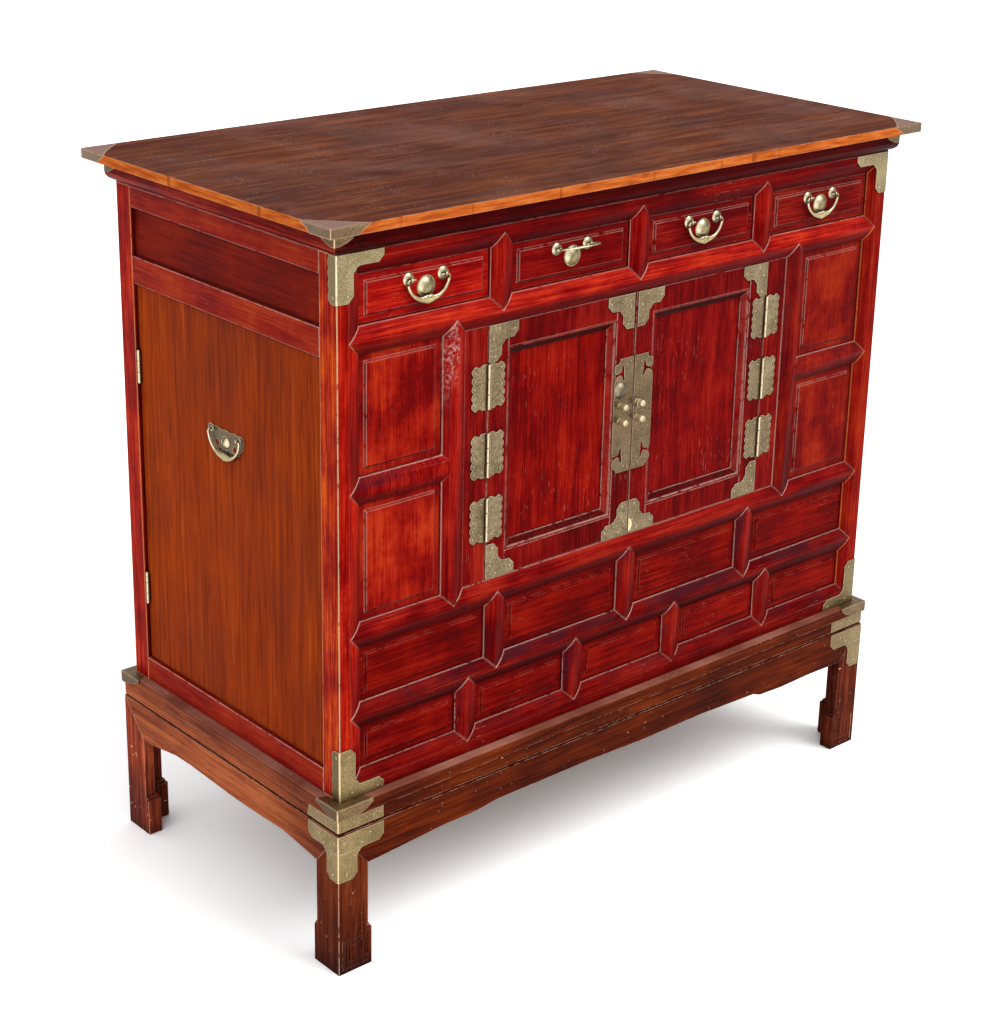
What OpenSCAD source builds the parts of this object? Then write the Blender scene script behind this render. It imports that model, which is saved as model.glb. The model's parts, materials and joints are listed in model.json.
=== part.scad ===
// Lacquered bar cabinet: a red framed case with brass fittings on a low stand.
// Two front doors, four drawers and a bottle door on each end.
// Sizes in millimetres. X runs along the front, the front faces -Y, Z is up.
// The origin is the middle of the footprint, on the floor.

/* [Case] */
// width of the case over its corner posts
case_w = 910; // [860:10:980]
// depth of the case over its corner posts
case_d = 440; // [400:10:500]
// width of every post, rail and muntin of the front
rail_w = 33; // [30:1:35]
// thickness of the front rails
rail_t = 24; // [22:1:28]
// how far the edges of a rail lie behind its crest
crown_drop = 5.5; // [3:0.5:7]
// depth of the pointed mitres in the front
tip_d = 12; // [10:1:16]
// depth of the corner posts
post_d = 32; // [30:1:36]
// height of the lowest row of panels
low_row_h = 51.5; // [44:0.5:60]
// height of the upper row of panels
high_row_h = 67.2; // [60:0.1:76]
// height of the door bay
door_bay_h = 315.3; // [290:0.1:350]
// height of the drawer row
drawer_row_h = 58; // [54:1:66]
// height of the top rail
top_rail_h = 26; // [24:1:30]
// clear width of the panels at each end of the front
column_w = 118; // [100:1:130]
// width of the jambs beside the doors
jamb_w = 34.7; // [30:0.1:38]
// how far the border of a panel lies behind the front
border_y = 8; // [7:0.5:10]
// how far the raised field of a panel lies behind the front
field_y = 5.5; // [4:0.5:6.5]
// inset of the raised field from the edge of its panel
field_in = 8.5; // [6:0.5:12]
// back of the front panels behind the front
panel_back = 20; // [16:1:21]

/* [Doors] */
// how far the door faces and jambs lie behind the front
door_y = 5.9; // [5:0.1:7]
// thickness of the front doors
door_t = 18; // [15:1:18]
// width of the door stiles and rails
door_frame_w = 30; // [26:1:34]
// gap between a door and its jamb
door_gap = 1.1; // [0.9:0.1:2]
// gap between the two doors
meeting_gap = 2; // [1.6:0.1:3]
// width of the sloping moulding round a door panel
mould_w = 11; // [8:1:14]
// height of a front hinge
hinge_h = 55; // [48:1:58]
// width of a front hinge over both leaves
hinge_w = 51; // [44:1:54]
// radius of a front hinge barrel
barrel_r = 2.6; // [2.4:0.1:2.8]
// clearance between a barrel and the door face
barrel_lift = 0.2; // [0.15:0.05:0.4]
// radius of a hinge pin
pin_r = 1.1; // [1:0.1:1.2]
// radial clearance round a turning pin
pin_fit = 0.08; // [0.05:0.01:0.1]
// thickness of the brass plates
plate_t = 1.2; // [1:0.1:1.5]
// height of the lock plates
lock_h = 148; // [130:1:160]
// width of a lock plate
lock_w = 31.5; // [28:0.5:33]

/* [End doors] */
// how far the end doors lie behind the ends of the case
end_recess = 5; // [4:0.5:6]
// thickness of the end doors
end_door_t = 18; // [15:1:20]
// height of the rail under an end door
end_low_rail = 31.5; // [28:0.5:36]
// height of the rail over an end door
end_mid_rail = 34; // [28:1:38]
// gap round an end door
end_gap = 1.2; // [1.1:0.1:2]
// height of an end door hinge
butt_h = 43; // [36:1:50]

/* [Drawers] */
// gap round a drawer front
drawer_gap = 0.8; // [0.5:0.1:1.5]
// outside depth of a drawer
drawer_d = 380; // [330:10:380]
// thickness of the drawer sides
drawer_side = 9; // [8:1:12]
// how far a drawer box is narrower than its opening on each side
box_in = 6; // [5:0.5:8]

/* [Handles] */
// radius of a bail to the middle of its wire
bail_r = 31; // [30:0.5:34]
// radius of the bail wire
wire_r = 1.9; // [1.6:0.1:2]
// half the distance between the posts of a handle
knob_half = 24.4; // [23:0.2:25]
// radius of the rosettes under the posts
knob_r = 7.6; // [7:0.1:8]
// distance of the bail pivot from the drawer face
pivot_out = 5; // [4.5:0.5:6]
// angle of the raised bail above level, on the second drawer
raised_up = 15; // [0:5:40]
// height of the end handles over the rail below
end_handle_up = 355.5; // [330:0.5:380]

/* [Brass plates] */
// reach of the case corner plates along the rails
corner_reach = 63; // [56:1:70]
// height of the case corner plates at the top
corner_top_h = 54.5; // [48:0.5:60]
// height of the case corner plates at the bottom
corner_low_h = 64.5; // [58:0.5:70]
// width of the upright arm of a case corner plate
corner_arm = 22; // [20:0.5:24]
// reach of the corner plates of the front doors
door_plate_w = 44; // [38:1:50]
// height of the corner plates of the front doors
door_plate_h = 44; // [38:1:44]
// size of the steps cut into the plates
plate_step = 4; // [3:0.5:5]
// reach of the angle straps along the aprons
strap_reach = 66; // [58:1:74]
// drop of the angle straps down the legs
strap_drop = 61; // [54:1:70]
// width of the bat plates on the end doors
bat_w = 74; // [66:1:80]

/* [Top] */
// thickness of the top board
top_t = 12; // [10:1:16]
// overhang of the top board past the case
top_over = 29; // [24:1:34]
// height of the moulding under the top board
cornice_h = 27; // [24:1:32]
// reach of the moulding past the case
cornice_out = 9.5; // [8:0.5:12]
// height of the brass shields at the corners of the moulding
shield_h = 5.5; // [4.5:0.5:7]
// thickness of the thin brass caps
cap_t = 0.8; // [0.6:0.1:1]

// open line left at the glued joints between boards
glue_gap = 0.1; // [0.05:0.05:0.2]

/* [Stand] */
// height of the stand
stand_h = 222; // [190:1:260]
// reach of the legs and aprons past the case
leg_out = 12; // [10:1:14]
// width of a leg
leg_w = 43; // [38:1:50]
// thickness of the two boards of a leg, and of the aprons
leg_t = 14; // [12:1:18]
// extra width of a foot on its inner sides
foot_in = 5.5; // [4:0.5:8]
// height of a foot
foot_h = 54; // [44:1:60]
// reach of the ledge past the case
ledge_out = 14; // [13.5:0.5:16]
// height of the ledge
ledge_h = 14.5; // [12:0.5:16]
// height of the frame under the case, with its ledge
frame_h = 34; // [30:1:38]
// depth of the aprons under the frame at mid span
apron_h = 38; // [34:1:46]
// how far the frame reaches in under the case
frame_in = 60; // [50:1:80]

/* [Hidden] */
$fn = 72;
half = rail_w / 2;
crown_r = (half * half + crown_drop * crown_drop) / (2 * crown_drop);
post_w = rail_w;
inner_w = case_w - 2 * post_w;
low_z = rail_w;
mid_z = low_z + low_row_h;
high_z = mid_z + rail_w;
sill_z = high_z + high_row_h;
bay_z = sill_z + rail_w;
head_z = bay_z + door_bay_h;
row_z = head_z + rail_w;
top_z = row_z + drawer_row_h;
case_h = top_z + top_rail_h;
deck_z = case_h + cornice_h;
top_line = top_z + half;
mid_line = mid_z + half;
sill_line = sill_z + half;
head_line = head_z + half;
cross_line = (bay_z + head_z) / 2;
drawer_w = (inner_w - 3 * rail_w) / 4;
low_w = (inner_w - 4 * rail_w) / 5;
row_x = [for (k = [1:3]) post_w + k * drawer_w + (k - 0.5) * rail_w];
low_x = [for (k = [1:4]) post_w + k * low_w + (k - 0.5) * rail_w];
stile_x = post_w + column_w + half;
jamb_x = stile_x + half;
door_x = jamb_x + jamb_w;
mid_x = case_w / 2;
// a hinge line stands in front of the door face by its barrel
hinge_x = door_x + door_gap / 2;
hinge_y = door_y - barrel_r - barrel_lift;
low_hinge_up = 78;
high_hinge_down = 73;
hinge_z = [bay_z + low_hinge_up, cross_line + 1, head_z - high_hinge_down];
hinge_lift = 0.25;
knuckle_gap = 0.3;
door_low = bay_z + 0.7;
door_high = head_z - 0.7;
door_left = door_x + door_gap;
door_right = mid_x - meeting_gap / 2;
door_panel_t = 6;
// inside boards
board_t = 12;
back_y = case_d - 14;
wall_t = 15;
wall_x = stile_x - wall_t / 2;
floor_z = bay_z - 5 - board_t;
shelf_z = cross_line - board_t;
dust_z = row_z - 0.3;
base_z = 16;
// drawers
drawer_front_t = 14;
drawer_low = row_z + drawer_gap;
drawer_high = top_z - drawer_gap;
drawer_x = [for (k = [0:3]) post_w + k * (drawer_w + rail_w)];
box_h = 46;
// handles
pivot_y = field_y - pivot_out;
pivot_z = drawer_low + 39.5;
end_pin_r = 1.3;
stem_r = 3.2;
bail_edge = bail_r + wire_r;
bail_plate = 3;
crescent_h = 10.5;
dome_down = 11.3;
raised_reach = bail_edge * cos(raised_up) + bail_plate / 2 * sin(raised_up) - pivot_y;
front_most = max(top_over, raised_reach);
front_shift = (front_most - top_over) / 2;
// end doors
end_low = end_low_rail;
end_high = row_z - 2 - end_mid_rail;
post_back = case_d - 30;
butt_r = 2.4;
butt_x = end_recess - butt_r - 0.2;
butt_y = post_back - butt_r - 0.2;
low_butt_up = 98;
high_butt_down = 105.5;
butt_z = [end_low + low_butt_up, end_high - high_butt_down];
leaf_t = 0.9;
end_handle_y = case_d / 2 + 3;
end_handle_z = end_low + end_handle_up;
end_knob_half = 28;
end_bail_r = 33.5;
end_wire_r = 1.5;
end_pivot_x = end_recess - 4.5;
// case corner plates
corner_lift = 0.3;
wrap_w = 12;
wrap_h = 54;
// cuts and pegs of the lock plates
hook_in = 22;
hook_x = 11;
hook_t = 3;
hook_h = 16;
hook_end_r = 3.6;
left_peg_in = 10.5;
right_peg_in = 26.4;
peg_r = 1.7;
peg_l = 11;
peg_ball_r = 4;
// brass of the stand
ledge_cap_w = 51;
ledge_cap_d = 41;
ledge_cap_h = 14;
strap_arm = 23;
strap_leg = 27;
// key pattern on the front feet
key_in = 6;
key_step = 8;
key_w = 2;
// lines cut into the faces of the frame
apron_z = -frame_h - apron_h;
strap_z0 = -frame_h + 3;
strap_z1 = -ledge_h - 2;

// puts the case frame, measured from its front left corner, over the origin
module at_case() {
  translate([-case_w / 2, -case_d / 2 + front_shift, stand_h]) children();
}

module flip_x() {
  translate([case_w, 0, 0]) mirror([1, 0, 0]) children();
}

module flip_y() {
  translate([0, case_d, 0]) mirror([0, 1, 0]) children();
}

module both_ends() {
  children();
  flip_x() children();
}

// an outline drawn in x and z, made t thick behind y0
module slab_y(y0, t) {
  translate([0, y0 + t, 0]) rotate([90, 0, 0]) linear_extrude(t) children();
}

// an outline drawn in y and z, made t thick to the right of x0
module slab_x(x0, t) {
  translate([x0, 0, 0]) rotate([90, 0, 90]) linear_extrude(t) children();
}

module box(x0, x1, y0, y1, z0, z1) {
  translate([x0, y0, z0]) cube([x1 - x0, y1 - y0, z1 - z0]);
}

// rounded face along x, its crest on the front plane at height zc
module crown_x(x0, x1, zc) {
  translate([x0, crown_r, zc]) rotate([0, 90, 0]) cylinder(r = crown_r, h = x1 - x0, $fn = 144);
}

module crown_z(xc, z0, z1) {
  translate([xc, crown_r, z0]) cylinder(r = crown_r, h = z1 - z0, $fn = 144);
}

// the pointed front part of a level member, tip to tip
module point_x(x0, x1, zc) {
  slab_y(-1, tip_d + 1) polygon([
    [x0, zc], [x0 + half, zc + half], [x1 - half, zc + half],
    [x1, zc], [x1 - half, zc - half], [x0 + half, zc - half]
  ]);
}

module point_z(xc, z0, z1) {
  slab_y(-1, tip_d + 1) polygon([
    [xc, z0], [xc + half, z0 + half], [xc + half, z1 - half],
    [xc, z1], [xc - half, z1 - half], [xc - half, z0 + half]
  ]);
}

// a level member with a rounded face and pointed ends
module member_x(x0, x1, zc, back) {
  intersection() {
    crown_x(x0 - 1, x1 + 1, zc);
    union() {
      point_x(x0, x1, zc);
      box(x0 + half, x1 - half, -1, back, zc - half, zc + half);
    }
  }
}

module member_z(xc, z0, z1, back) {
  intersection() {
    crown_z(xc, z0 - 1, z1 + 1);
    union() {
      point_z(xc, z0, z1);
      box(xc - half, xc + half, -1, back, z0 + half, z1 - half);
    }
  }
}

// a rail between the posts, notched for the muntins that meet it
module cross_rail(zc, above, below) {
  difference() {
    member_x(half, case_w - half, zc, rail_t);
    for (x = above) point_z(x, zc, zc + 3 * rail_w);
    for (x = below) point_z(x, zc - 3 * rail_w, zc);
  }
}

// a rail at the top or bottom of the case: rounded inside, flat outside
module edge_rail(zc, z_out, tips) {
  dir = z_out > zc ? 1 : -1;
  difference() {
    union() {
      intersection() {
        crown_x(half, case_w - half, zc);
        union() {
          slab_y(-1, tip_d + 1) polygon([
            [half, zc], [post_w, zc - dir * half], [case_w - post_w, zc - dir * half], [case_w - half, zc]
          ]);
          box(post_w, case_w - post_w, -1, rail_t, min(zc, zc - dir * half), max(zc, zc - dir * half));
        }
      }
      box(half, case_w - half, 0, tip_d, min(zc, z_out), max(zc, z_out));
      box(post_w, case_w - post_w, 0, rail_t, min(zc, z_out), max(zc, z_out));
    }
    for (x = tips) point_z(x, min(zc, zc - dir * 4 * rail_w), max(zc, zc - dir * 4 * rail_w));
  }
}

// the raised field of a board, with sloping edges
module raised_field(x0, x1, z0, z1) {
  slope = (border_y - field_y) * 0.8;
  a = field_in;
  b = field_in + slope;
  intersection() {
    translate([0, 0, z0 + a]) linear_extrude(z1 - z0 - 2 * a) polygon([
      [x0 + a, border_y + 1], [x0 + a, border_y], [x0 + b, field_y],
      [x1 - b, field_y], [x1 - a, border_y], [x1 - a, border_y + 1]
    ]);
    translate([x0 + a, 0, 0]) rotate([90, 0, 90]) linear_extrude(x1 - x0 - 2 * a) polygon([
      [border_y + 1, z0 + a], [border_y, z0 + a], [field_y, z0 + b],
      [field_y, z1 - b], [border_y, z1 - a], [border_y + 1, z1 - a]
    ]);
  }
}

module panel(x0, x1, z0, z1) {
  box(x0, x1, border_y, panel_back, z0, z1);
  raised_field(x0, x1, z0, z1);
}

// an angle plate outline from its corner, with cut outer corners and a filled inner corner
module angle_outline(a, b, wa, wb) {
  q = plate_step;
  polygon([
    [0, 0], [a, 0], [a, wa - 1.5 * q], [a - 0.9 * q, wa - 0.9 * q], [a - 1.7 * q, wa],
    [wb + 1.7 * q, wa], [wb + 0.8 * q, wa + 0.8 * q], [wb, wa + 2 * q],
    [wb, b - 1.7 * q], [wb - 0.9 * q, b - 0.9 * q], [wb - 1.7 * q, b], [0, b]
  ]);
}

module stand_legs() {
  color([0.42, 0.17, 0.08]) at_case() both_ends() {
    leg();
    flip_y() leg_plain();
  }
}

// an angle of two boards, t thick and reaching out to w
module leg_angle(w, t, z0, z1) {
  o = leg_out;
  translate([-o, -o, z0]) linear_extrude(z1 - z0) polygon([[0, 0], [w, 0], [w, t], [t, t], [t, w], [0, w]]);
}

module leg_plain() {
  z1 = -stand_h + foot_h;
  difference() {
    leg_angle(leg_w, leg_t, -stand_h, -frame_h);
    apron_zone();
    mirror([1, -1, 0]) apron_zone();
  }
  leg_angle(leg_w + foot_in, leg_t + foot_in, -stand_h, z1 - 4);
  leg_angle(leg_w + foot_in - 2.5, leg_t + foot_in - 2.5, z1 - 5, z1);
}

// what the front apron takes from the top of a leg, above the mitre
module apron_zone() {
  x = leg_w - leg_out;
  slab_y(-leg_out - 1, leg_out + leg_w + 2)
    polygon([[-leg_out, -frame_h], [x, apron_z - 12], [x + 1, apron_z - 12], [x + 1, 0], [-leg_out, 0]]);
}

// a front leg carries a key pattern cut into its foot
module leg() {
  w = key_w;
  n = key_step;
  x0 = -leg_out + key_in;
  x1 = leg_w - leg_out + foot_in - key_in;
  z0 = -stand_h + key_in;
  z1 = -stand_h + foot_h - 9;
  difference() {
    leg_plain();
    key_cut(x0, x1, z0, z0 + w);
    key_cut(x0, x0 + w, z0, z1);
    key_cut(x0, x1, z1 - w, z1);
    key_cut(x1 - w, x1, z0 + n, z1);
    key_cut(x0 + n, x1, z0 + n, z0 + n + w);
    key_cut(x0 + n, x0 + n + w, z0 + n, z1 - n);
    key_cut(x0 + n, x1 - n, z1 - n - w, z1 - n);
    key_cut(x1 - n - w, x1 - n, z0 + 2 * n, z1 - n);
  }
}

module key_cut(x0, x1, z0, z1) {
  box(x0, x1, -leg_out - 1, -leg_out + 1.2, z0, z1);
}

// an apron along x from the mitre at its left end, with the points of its lower edge
module apron(length, low_edge) {
  o = leg_out;
  xa = leg_w - o;
  intersection() {
    slab_y(-o, leg_t) polygon(concat([[-o, -frame_h], [xa, apron_z - 12]], low_edge,
      [[length - xa, apron_z - 12], [length + o, -frame_h]]));
    translate([0, 0, apron_z - 13]) linear_extrude(apron_h + 13) polygon([
      [-o, -o], [length + o, -o], [length + o - leg_t - 1, leg_t + 1 - o], [leg_t + 1 - o, leg_t + 1 - o]
    ]);
  }
}

module stand_aprons() {
  z = apron_z;
  xa = leg_w - leg_out;
  xb = case_w - xa;
  yb = case_d - xa;
  front_edge = [
    [xa + 12, z - 11.5], [xa + 64, z - 8], [xa + 120, z - 4.5], [xa + 156, z - 4.5], [xa + 175, z - 3.3],
    [xa + 200, z], [xa + 355, z], [xb - 400, z - 2.5], [xb - 290, z - 1.5], [xb - 182, z - 5],
    [xb - 168, z - 10], [xb - 125, z - 12], [xb - 70, z - 10.5]
  ];
  back_edge = [[xa + 60, z - 9], [xa + 150, z - 4], [xb - 150, z - 4], [xb - 60, z - 9]];
  end_edge = [
    [xa + 20, z - 9], [xa + 70, z - 3], [xa + 120, z - 4.6], [xa + 170, z - 5], [yb - 153, z - 3],
    [yb - 113, z - 1.4], [yb - 77, z - 2], [yb - 41, z - 8], [yb - 16, z - 11.8]
  ];
  color([0.42, 0.17, 0.08]) at_case() {
    apron(case_w, front_edge);
    flip_y() apron(case_w, back_edge);
    both_ends() mirror([1, -1, 0]) apron(case_d, end_edge);
  }
}

// section of the frame under the case, from its outer edge inward
module frame_section() {
  round_r = 5;
  difference() {
    union() {
      translate([-ledge_out, -ledge_h]) square([frame_in + ledge_out, ledge_h]);
      translate([-ledge_out + 3, -frame_h]) square([frame_in - 3 + ledge_out, frame_h - 1]);
    }
    translate([-ledge_out - 1, -round_r]) difference() {
      square([round_r + 1, round_r + 1]);
      translate([round_r + 1, 0]) circle(r = round_r);
    }
    translate([-ledge_out + 2, -frame_h - 1]) square([2.5, 3]);
  }
}

// one end member of a mitred ring, cut from a section drawn in x and z
module ring_end(reach, z0, z1, w) {
  g = glue_gap;
  intersection() {
    translate([0, case_d + reach + 1, 0]) rotate([90, 0, 0])
      linear_extrude(case_d + 2 * reach + 2) children();
    translate([0, 0, z0 - 1]) linear_extrude(z1 - z0 + 2) polygon([
      [-reach - 1, -reach - 1 + g], [w + 1, w + 1 + g],
      [w + 1, case_d - w - 1 - g], [-reach - 1, case_d + reach + 1 - g]
    ]);
  }
}

module ring_front(reach, z0, z1, w) {
  intersection() {
    translate([-reach - 1, 0, 0]) rotate([90, 0, 90]) linear_extrude(case_w + 2 * reach + 2) children();
    translate([0, 0, z0 - 1]) linear_extrude(z1 - z0 + 2) polygon([
      [-reach - 1, -reach - 1], [w + 1, w + 1], [case_w - w - 1, w + 1], [case_w + reach + 1, -reach - 1]
    ]);
  }
}

module stand_frame() {
  color([0.45, 0.18, 0.09]) at_case() {
    both_ends() ring_end(ledge_out, -frame_h, 0, frame_in) frame_section();
    ring_front(ledge_out, -frame_h, 0, frame_in) frame_section();
    flip_y() ring_front(ledge_out, -frame_h, 0, frame_in) frame_section();
  }
}

module stand_brass() {
  t = cap_t;
  f = -ledge_out + 3;
  x1 = strap_reach - leg_out;
  y1 = x1 - 5;
  strap_top = -frame_h - 2;
  color([0.6, 0.56, 0.4]) at_case() both_ends() {
    ledge_cap();
    flip_y() ledge_cap();
    // the narrow strap on the frame
    slab_y(f - t, t) polygon([[f - t, strap_z0], [x1, strap_z0], [x1, strap_z1], [f - t, strap_z1]]);
    slab_x(f - t, t) polygon([[f, strap_z0], [y1, strap_z0], [y1, strap_z1], [f, strap_z1]]);
    // the angle strap on the apron and leg
    slab_y(-leg_out - t, t) translate([-leg_out - t, strap_top])
      mirror([0, 1]) angle_outline(strap_reach + t, strap_drop, strap_arm, strap_leg + t);
    slab_x(-leg_out - t, t) translate([-leg_out, strap_top])
      mirror([0, 1]) angle_outline(strap_reach - 8.5, strap_drop - 1, strap_arm - 2, strap_leg - 5.5);
  }
}

// a brass cap folded over a corner of the ledge, short of the case's own plates
module ledge_cap() {
  t = cap_t;
  o = ledge_out;
  h = ledge_cap_h;
  x1 = ledge_cap_w - o;
  y1 = ledge_cap_d - o;
  e = -plate_t - 0.2;
  linear_extrude(t) polygon([
    [-o - t, -o - t], [x1, -o - t], [x1 - 6, e], [e, e], [e, y1 - 6], [-o - t, y1]
  ]);
  slab_y(-o - t, t) polygon([[-o - t, -h], [x1 - 22, -h], [x1 - 10, -h + 4], [x1, -3], [x1, 0], [-o - t, 0]]);
  slab_x(-o - t, t) polygon([[-o, -h], [y1 - 34, -h], [y1 - 20, -h + 3], [y1, -3], [y1, 0], [-o, 0]]);
}

module front_posts() {
  color([0.62, 0.08, 0.05]) at_case() both_ends() difference() {
    union() {
      intersection() {
        crown_z(half, 0, case_h);
        box(half, post_w, -1, post_d, 0, case_h);
      }
      box(0, half, 0, post_d, 0, case_h);
    }
    for (z = [mid_line, sill_line, head_line, cross_line]) point_x(half, 4 * rail_w, z);
    slab_y(-1, tip_d + 1) polygon([
      [half, -1], [half, half], [post_w + 1, rail_w + 1], [post_w + 1, -1]
    ]);
    slab_y(-1, tip_d + 1) polygon([
      [half, case_h + 1], [half, top_line], [post_w + 1, top_z - 1], [post_w + 1, case_h + 1]
    ]);
  }
}

module rear_posts() {
  color([0.62, 0.09, 0.05]) at_case() both_ends() box(0, post_w, post_back, case_d, 0, case_h);
}

module front_top_rail() {
  color([0.62, 0.08, 0.05]) at_case() edge_rail(top_line, case_h, row_x);
}

module drawer_rail() {
  color([0.62, 0.08, 0.05]) at_case() cross_rail(head_line, row_x, [stile_x, case_w - stile_x]);
}

module sill_rail() {
  color([0.62, 0.08, 0.05]) at_case() cross_rail(sill_line, [stile_x, case_w - stile_x], row_x);
}

module middle_rail() {
  color([0.62, 0.08, 0.05]) at_case() cross_rail(mid_line, row_x, low_x);
}

module bottom_rail() {
  color([0.62, 0.08, 0.05]) at_case() edge_rail(half, 0, low_x);
}

module drawer_muntins() {
  color([0.55, 0.07, 0.05]) at_case() for (x = row_x) member_z(x, head_line, top_line, rail_t);
}

module row_muntins() {
  color([0.55, 0.07, 0.05]) at_case() {
    for (x = row_x) member_z(x, mid_line, sill_line, rail_t);
    for (x = low_x) member_z(x, half, mid_line, rail_t);
  }
}

module column_muntins() {
  color([0.55, 0.07, 0.05]) at_case() both_ends() {
    difference() {
      member_z(stile_x, sill_line, head_line, rail_t);
      point_x(half, stile_x, cross_line);
    }
    member_x(half, stile_x, cross_line, rail_t);
  }
}

module column_panels() {
  color([0.6, 0.09, 0.05]) at_case() both_ends() {
    panel(post_w, post_w + column_w, bay_z, cross_line - half);
    panel(post_w, post_w + column_w, cross_line + half, head_z);
  }
}

module row_panels() {
  color([0.6, 0.09, 0.05]) at_case() {
    for (x = drawer_x) panel(x, x + drawer_w, high_z, sill_z);
    for (k = [0:4]) translate([post_w + k * (low_w + rail_w), 0, 0]) panel(0, low_w, low_z, mid_z);
  }
}

module door_jambs() {
  color([0.55, 0.06, 0.04]) at_case() both_ends() box(jamb_x, door_x, door_y, rail_t, bay_z, head_z);
}

module end_rails() {
  color([0.65, 0.1, 0.05]) at_case() both_ends() {
    box(0, post_w, post_d, post_back, 0, end_low);
    box(0, post_w, post_d, post_back, end_high, row_z - 2);
    box(0, post_w, post_d, post_back, top_z, case_h);
  }
}

module end_upper_panels() {
  color([0.32, 0.08, 0.05]) at_case() both_ends()
    box(end_recess, end_recess + 12, post_d, post_back, row_z - 2, top_z);
}

module back_frame() {
  color([0.4, 0.1, 0.06]) at_case() {
    box(post_w, case_w - post_w, back_y, case_d, 0, 50);
    box(post_w, case_w - post_w, back_y, case_d, case_h - 50, case_h);
    box(mid_x - 25, mid_x + 25, back_y, case_d, 50 + glue_gap, case_h - 50 - glue_gap);
  }
}

module back_panels() {
  color([0.35, 0.12, 0.08]) at_case() both_ends()
    box(post_w, mid_x - 25, back_y + 4, back_y + 10, 50, case_h - 50);
}

module bottom_board() {
  color([0.6, 0.45, 0.3]) at_case()
    box(post_w, case_w - post_w, rail_t, back_y, base_z, base_z + board_t);
}

module partitions() {
  color([0.6, 0.45, 0.3]) at_case() both_ends()
    box(wall_x, wall_x + wall_t, rail_t, back_y, base_z + board_t, dust_z - board_t);
}

module shelves() {
  color([0.6, 0.45, 0.3]) at_case() {
    box(wall_x + wall_t, case_w - wall_x - wall_t, rail_t, back_y, floor_z, floor_z + board_t);
    box(wall_x + wall_t, case_w - wall_x - wall_t, rail_t + 36, back_y, shelf_z, shelf_z + board_t);
  }
}

module dust_board() {
  color([0.6, 0.45, 0.3]) at_case()
    box(post_w, case_w - post_w, rail_t, back_y, dust_z - board_t, dust_z);
}

// strips between and over the drawers
module drawer_guides() {
  color([0.62, 0.47, 0.32]) at_case() {
    for (x = row_x) {
      box(x - half - box_in + 1, x + half + box_in - 1, rail_t, back_y, dust_z, top_z);
      box(x - half, x + half, rail_t, back_y, top_z + glue_gap, case_h);
    }
    both_ends() box(post_w, post_w + box_in - 1, rail_t, back_y, dust_z, top_z);
  }
}

// section of the moulding under the top board
module cornice_section() {
  lip = cornice_h - cornice_out - 2;
  translate([-cornice_out, deck_z - lip]) square([cornice_out + rail_t, lip]);
  translate([0, case_h]) square([rail_t, cornice_h - 1]);
  intersection() {
    translate([0, deck_z - lip]) circle(r = cornice_out);
    translate([-cornice_out - 1, deck_z - lip - cornice_out - 1]) square([cornice_out + 2, cornice_out + 2]);
  }
}

module cornice() {
  color([0.45, 0.06, 0.05]) at_case() {
    both_ends() ring_end(cornice_out, case_h, deck_z, rail_t) cornice_section();
    ring_front(cornice_out, case_h, deck_z, rail_t) cornice_section();
    flip_y() ring_front(cornice_out, case_h, deck_z, rail_t) cornice_section();
  }
}

// the brass at one corner of the top board, let into it flush
module top_cap() {
  t = cap_t;
  o = top_over;
  z1 = deck_z + top_t;
  translate([0, 0, z1 - t]) linear_extrude(t) polygon([
    [-o, -o], [-o + 52, -o], [-o + 36, -o + 13], [-o + 13, -o + 36], [-o, -o + 52]
  ]);
  slab_y(-o, t) polygon([
    [-o, deck_z], [-o + 36, deck_z], [-o + 42, deck_z + 5],
    [-o + 52, deck_z + top_t - 2], [-o + 52, z1], [-o, z1]
  ]);
  slab_x(-o, t) polygon([
    [-o, deck_z], [-o + 36, deck_z], [-o + 42, deck_z + 5],
    [-o + 52, deck_z + top_t - 2], [-o + 52, z1], [-o, z1]
  ]);
}

module top_caps() {
  both_ends() {
    top_cap();
    flip_y() top_cap();
  }
}

module top_board() {
  color([0.35, 0.19, 0.14]) at_case() difference() {
    box(-top_over, case_w + top_over, -top_over, case_d + top_over, deck_z, deck_z + top_t);
    top_caps();
  }
}

// the small shield folded over one corner of the moulding
module cornice_shield() {
  t = cap_t;
  c = cornice_out;
  low = deck_z - shield_h;
  slab_y(-c - t, t) polygon([[-c - t, low], [8 - c, low], [12 - c, deck_z], [-c - t, deck_z]]);
  slab_x(-c - t, t) polygon([[-c, low], [8 - c, low], [12 - c, deck_z], [-c, deck_z]]);
}

module top_brass() {
  color([0.6, 0.56, 0.4]) at_case() {
    top_caps();
    both_ends() {
      cornice_shield();
      flip_y() cornice_shield();
    }
  }
}

module case_corner_plates() {
  t = plate_t;
  a = corner_reach + t;
  color([0.6, 0.56, 0.4]) at_case() both_ends() {
    slab_y(-t, t) translate([-t, case_h - corner_lift]) mirror([0, 1])
      angle_outline(a, corner_top_h, 15, corner_arm);
    slab_y(-t, t) translate([-t, corner_lift]) angle_outline(a, corner_low_h, half, corner_arm);
    corner_wrap(case_h - corner_lift, -1);
    corner_wrap(corner_lift, 1);
  }
}

// the part of a corner plate folded onto the end of the case, with a scalloped edge
module corner_wrap(z, dir) {
  t = plate_t;
  n = 4;
  pitch = (wrap_h - 4) / n;
  translate([0, 0, z]) slab_x(-t, t) scale_v(dir) union() {
    square([wrap_w, wrap_h]);
    for (k = [0.5:1:n]) translate([wrap_w, 2 + k * pitch]) circle(r = 4);
  }
}

module scale_v(dir) {
  if (dir > 0) children();
  else mirror([0, 1]) children();
}

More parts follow.
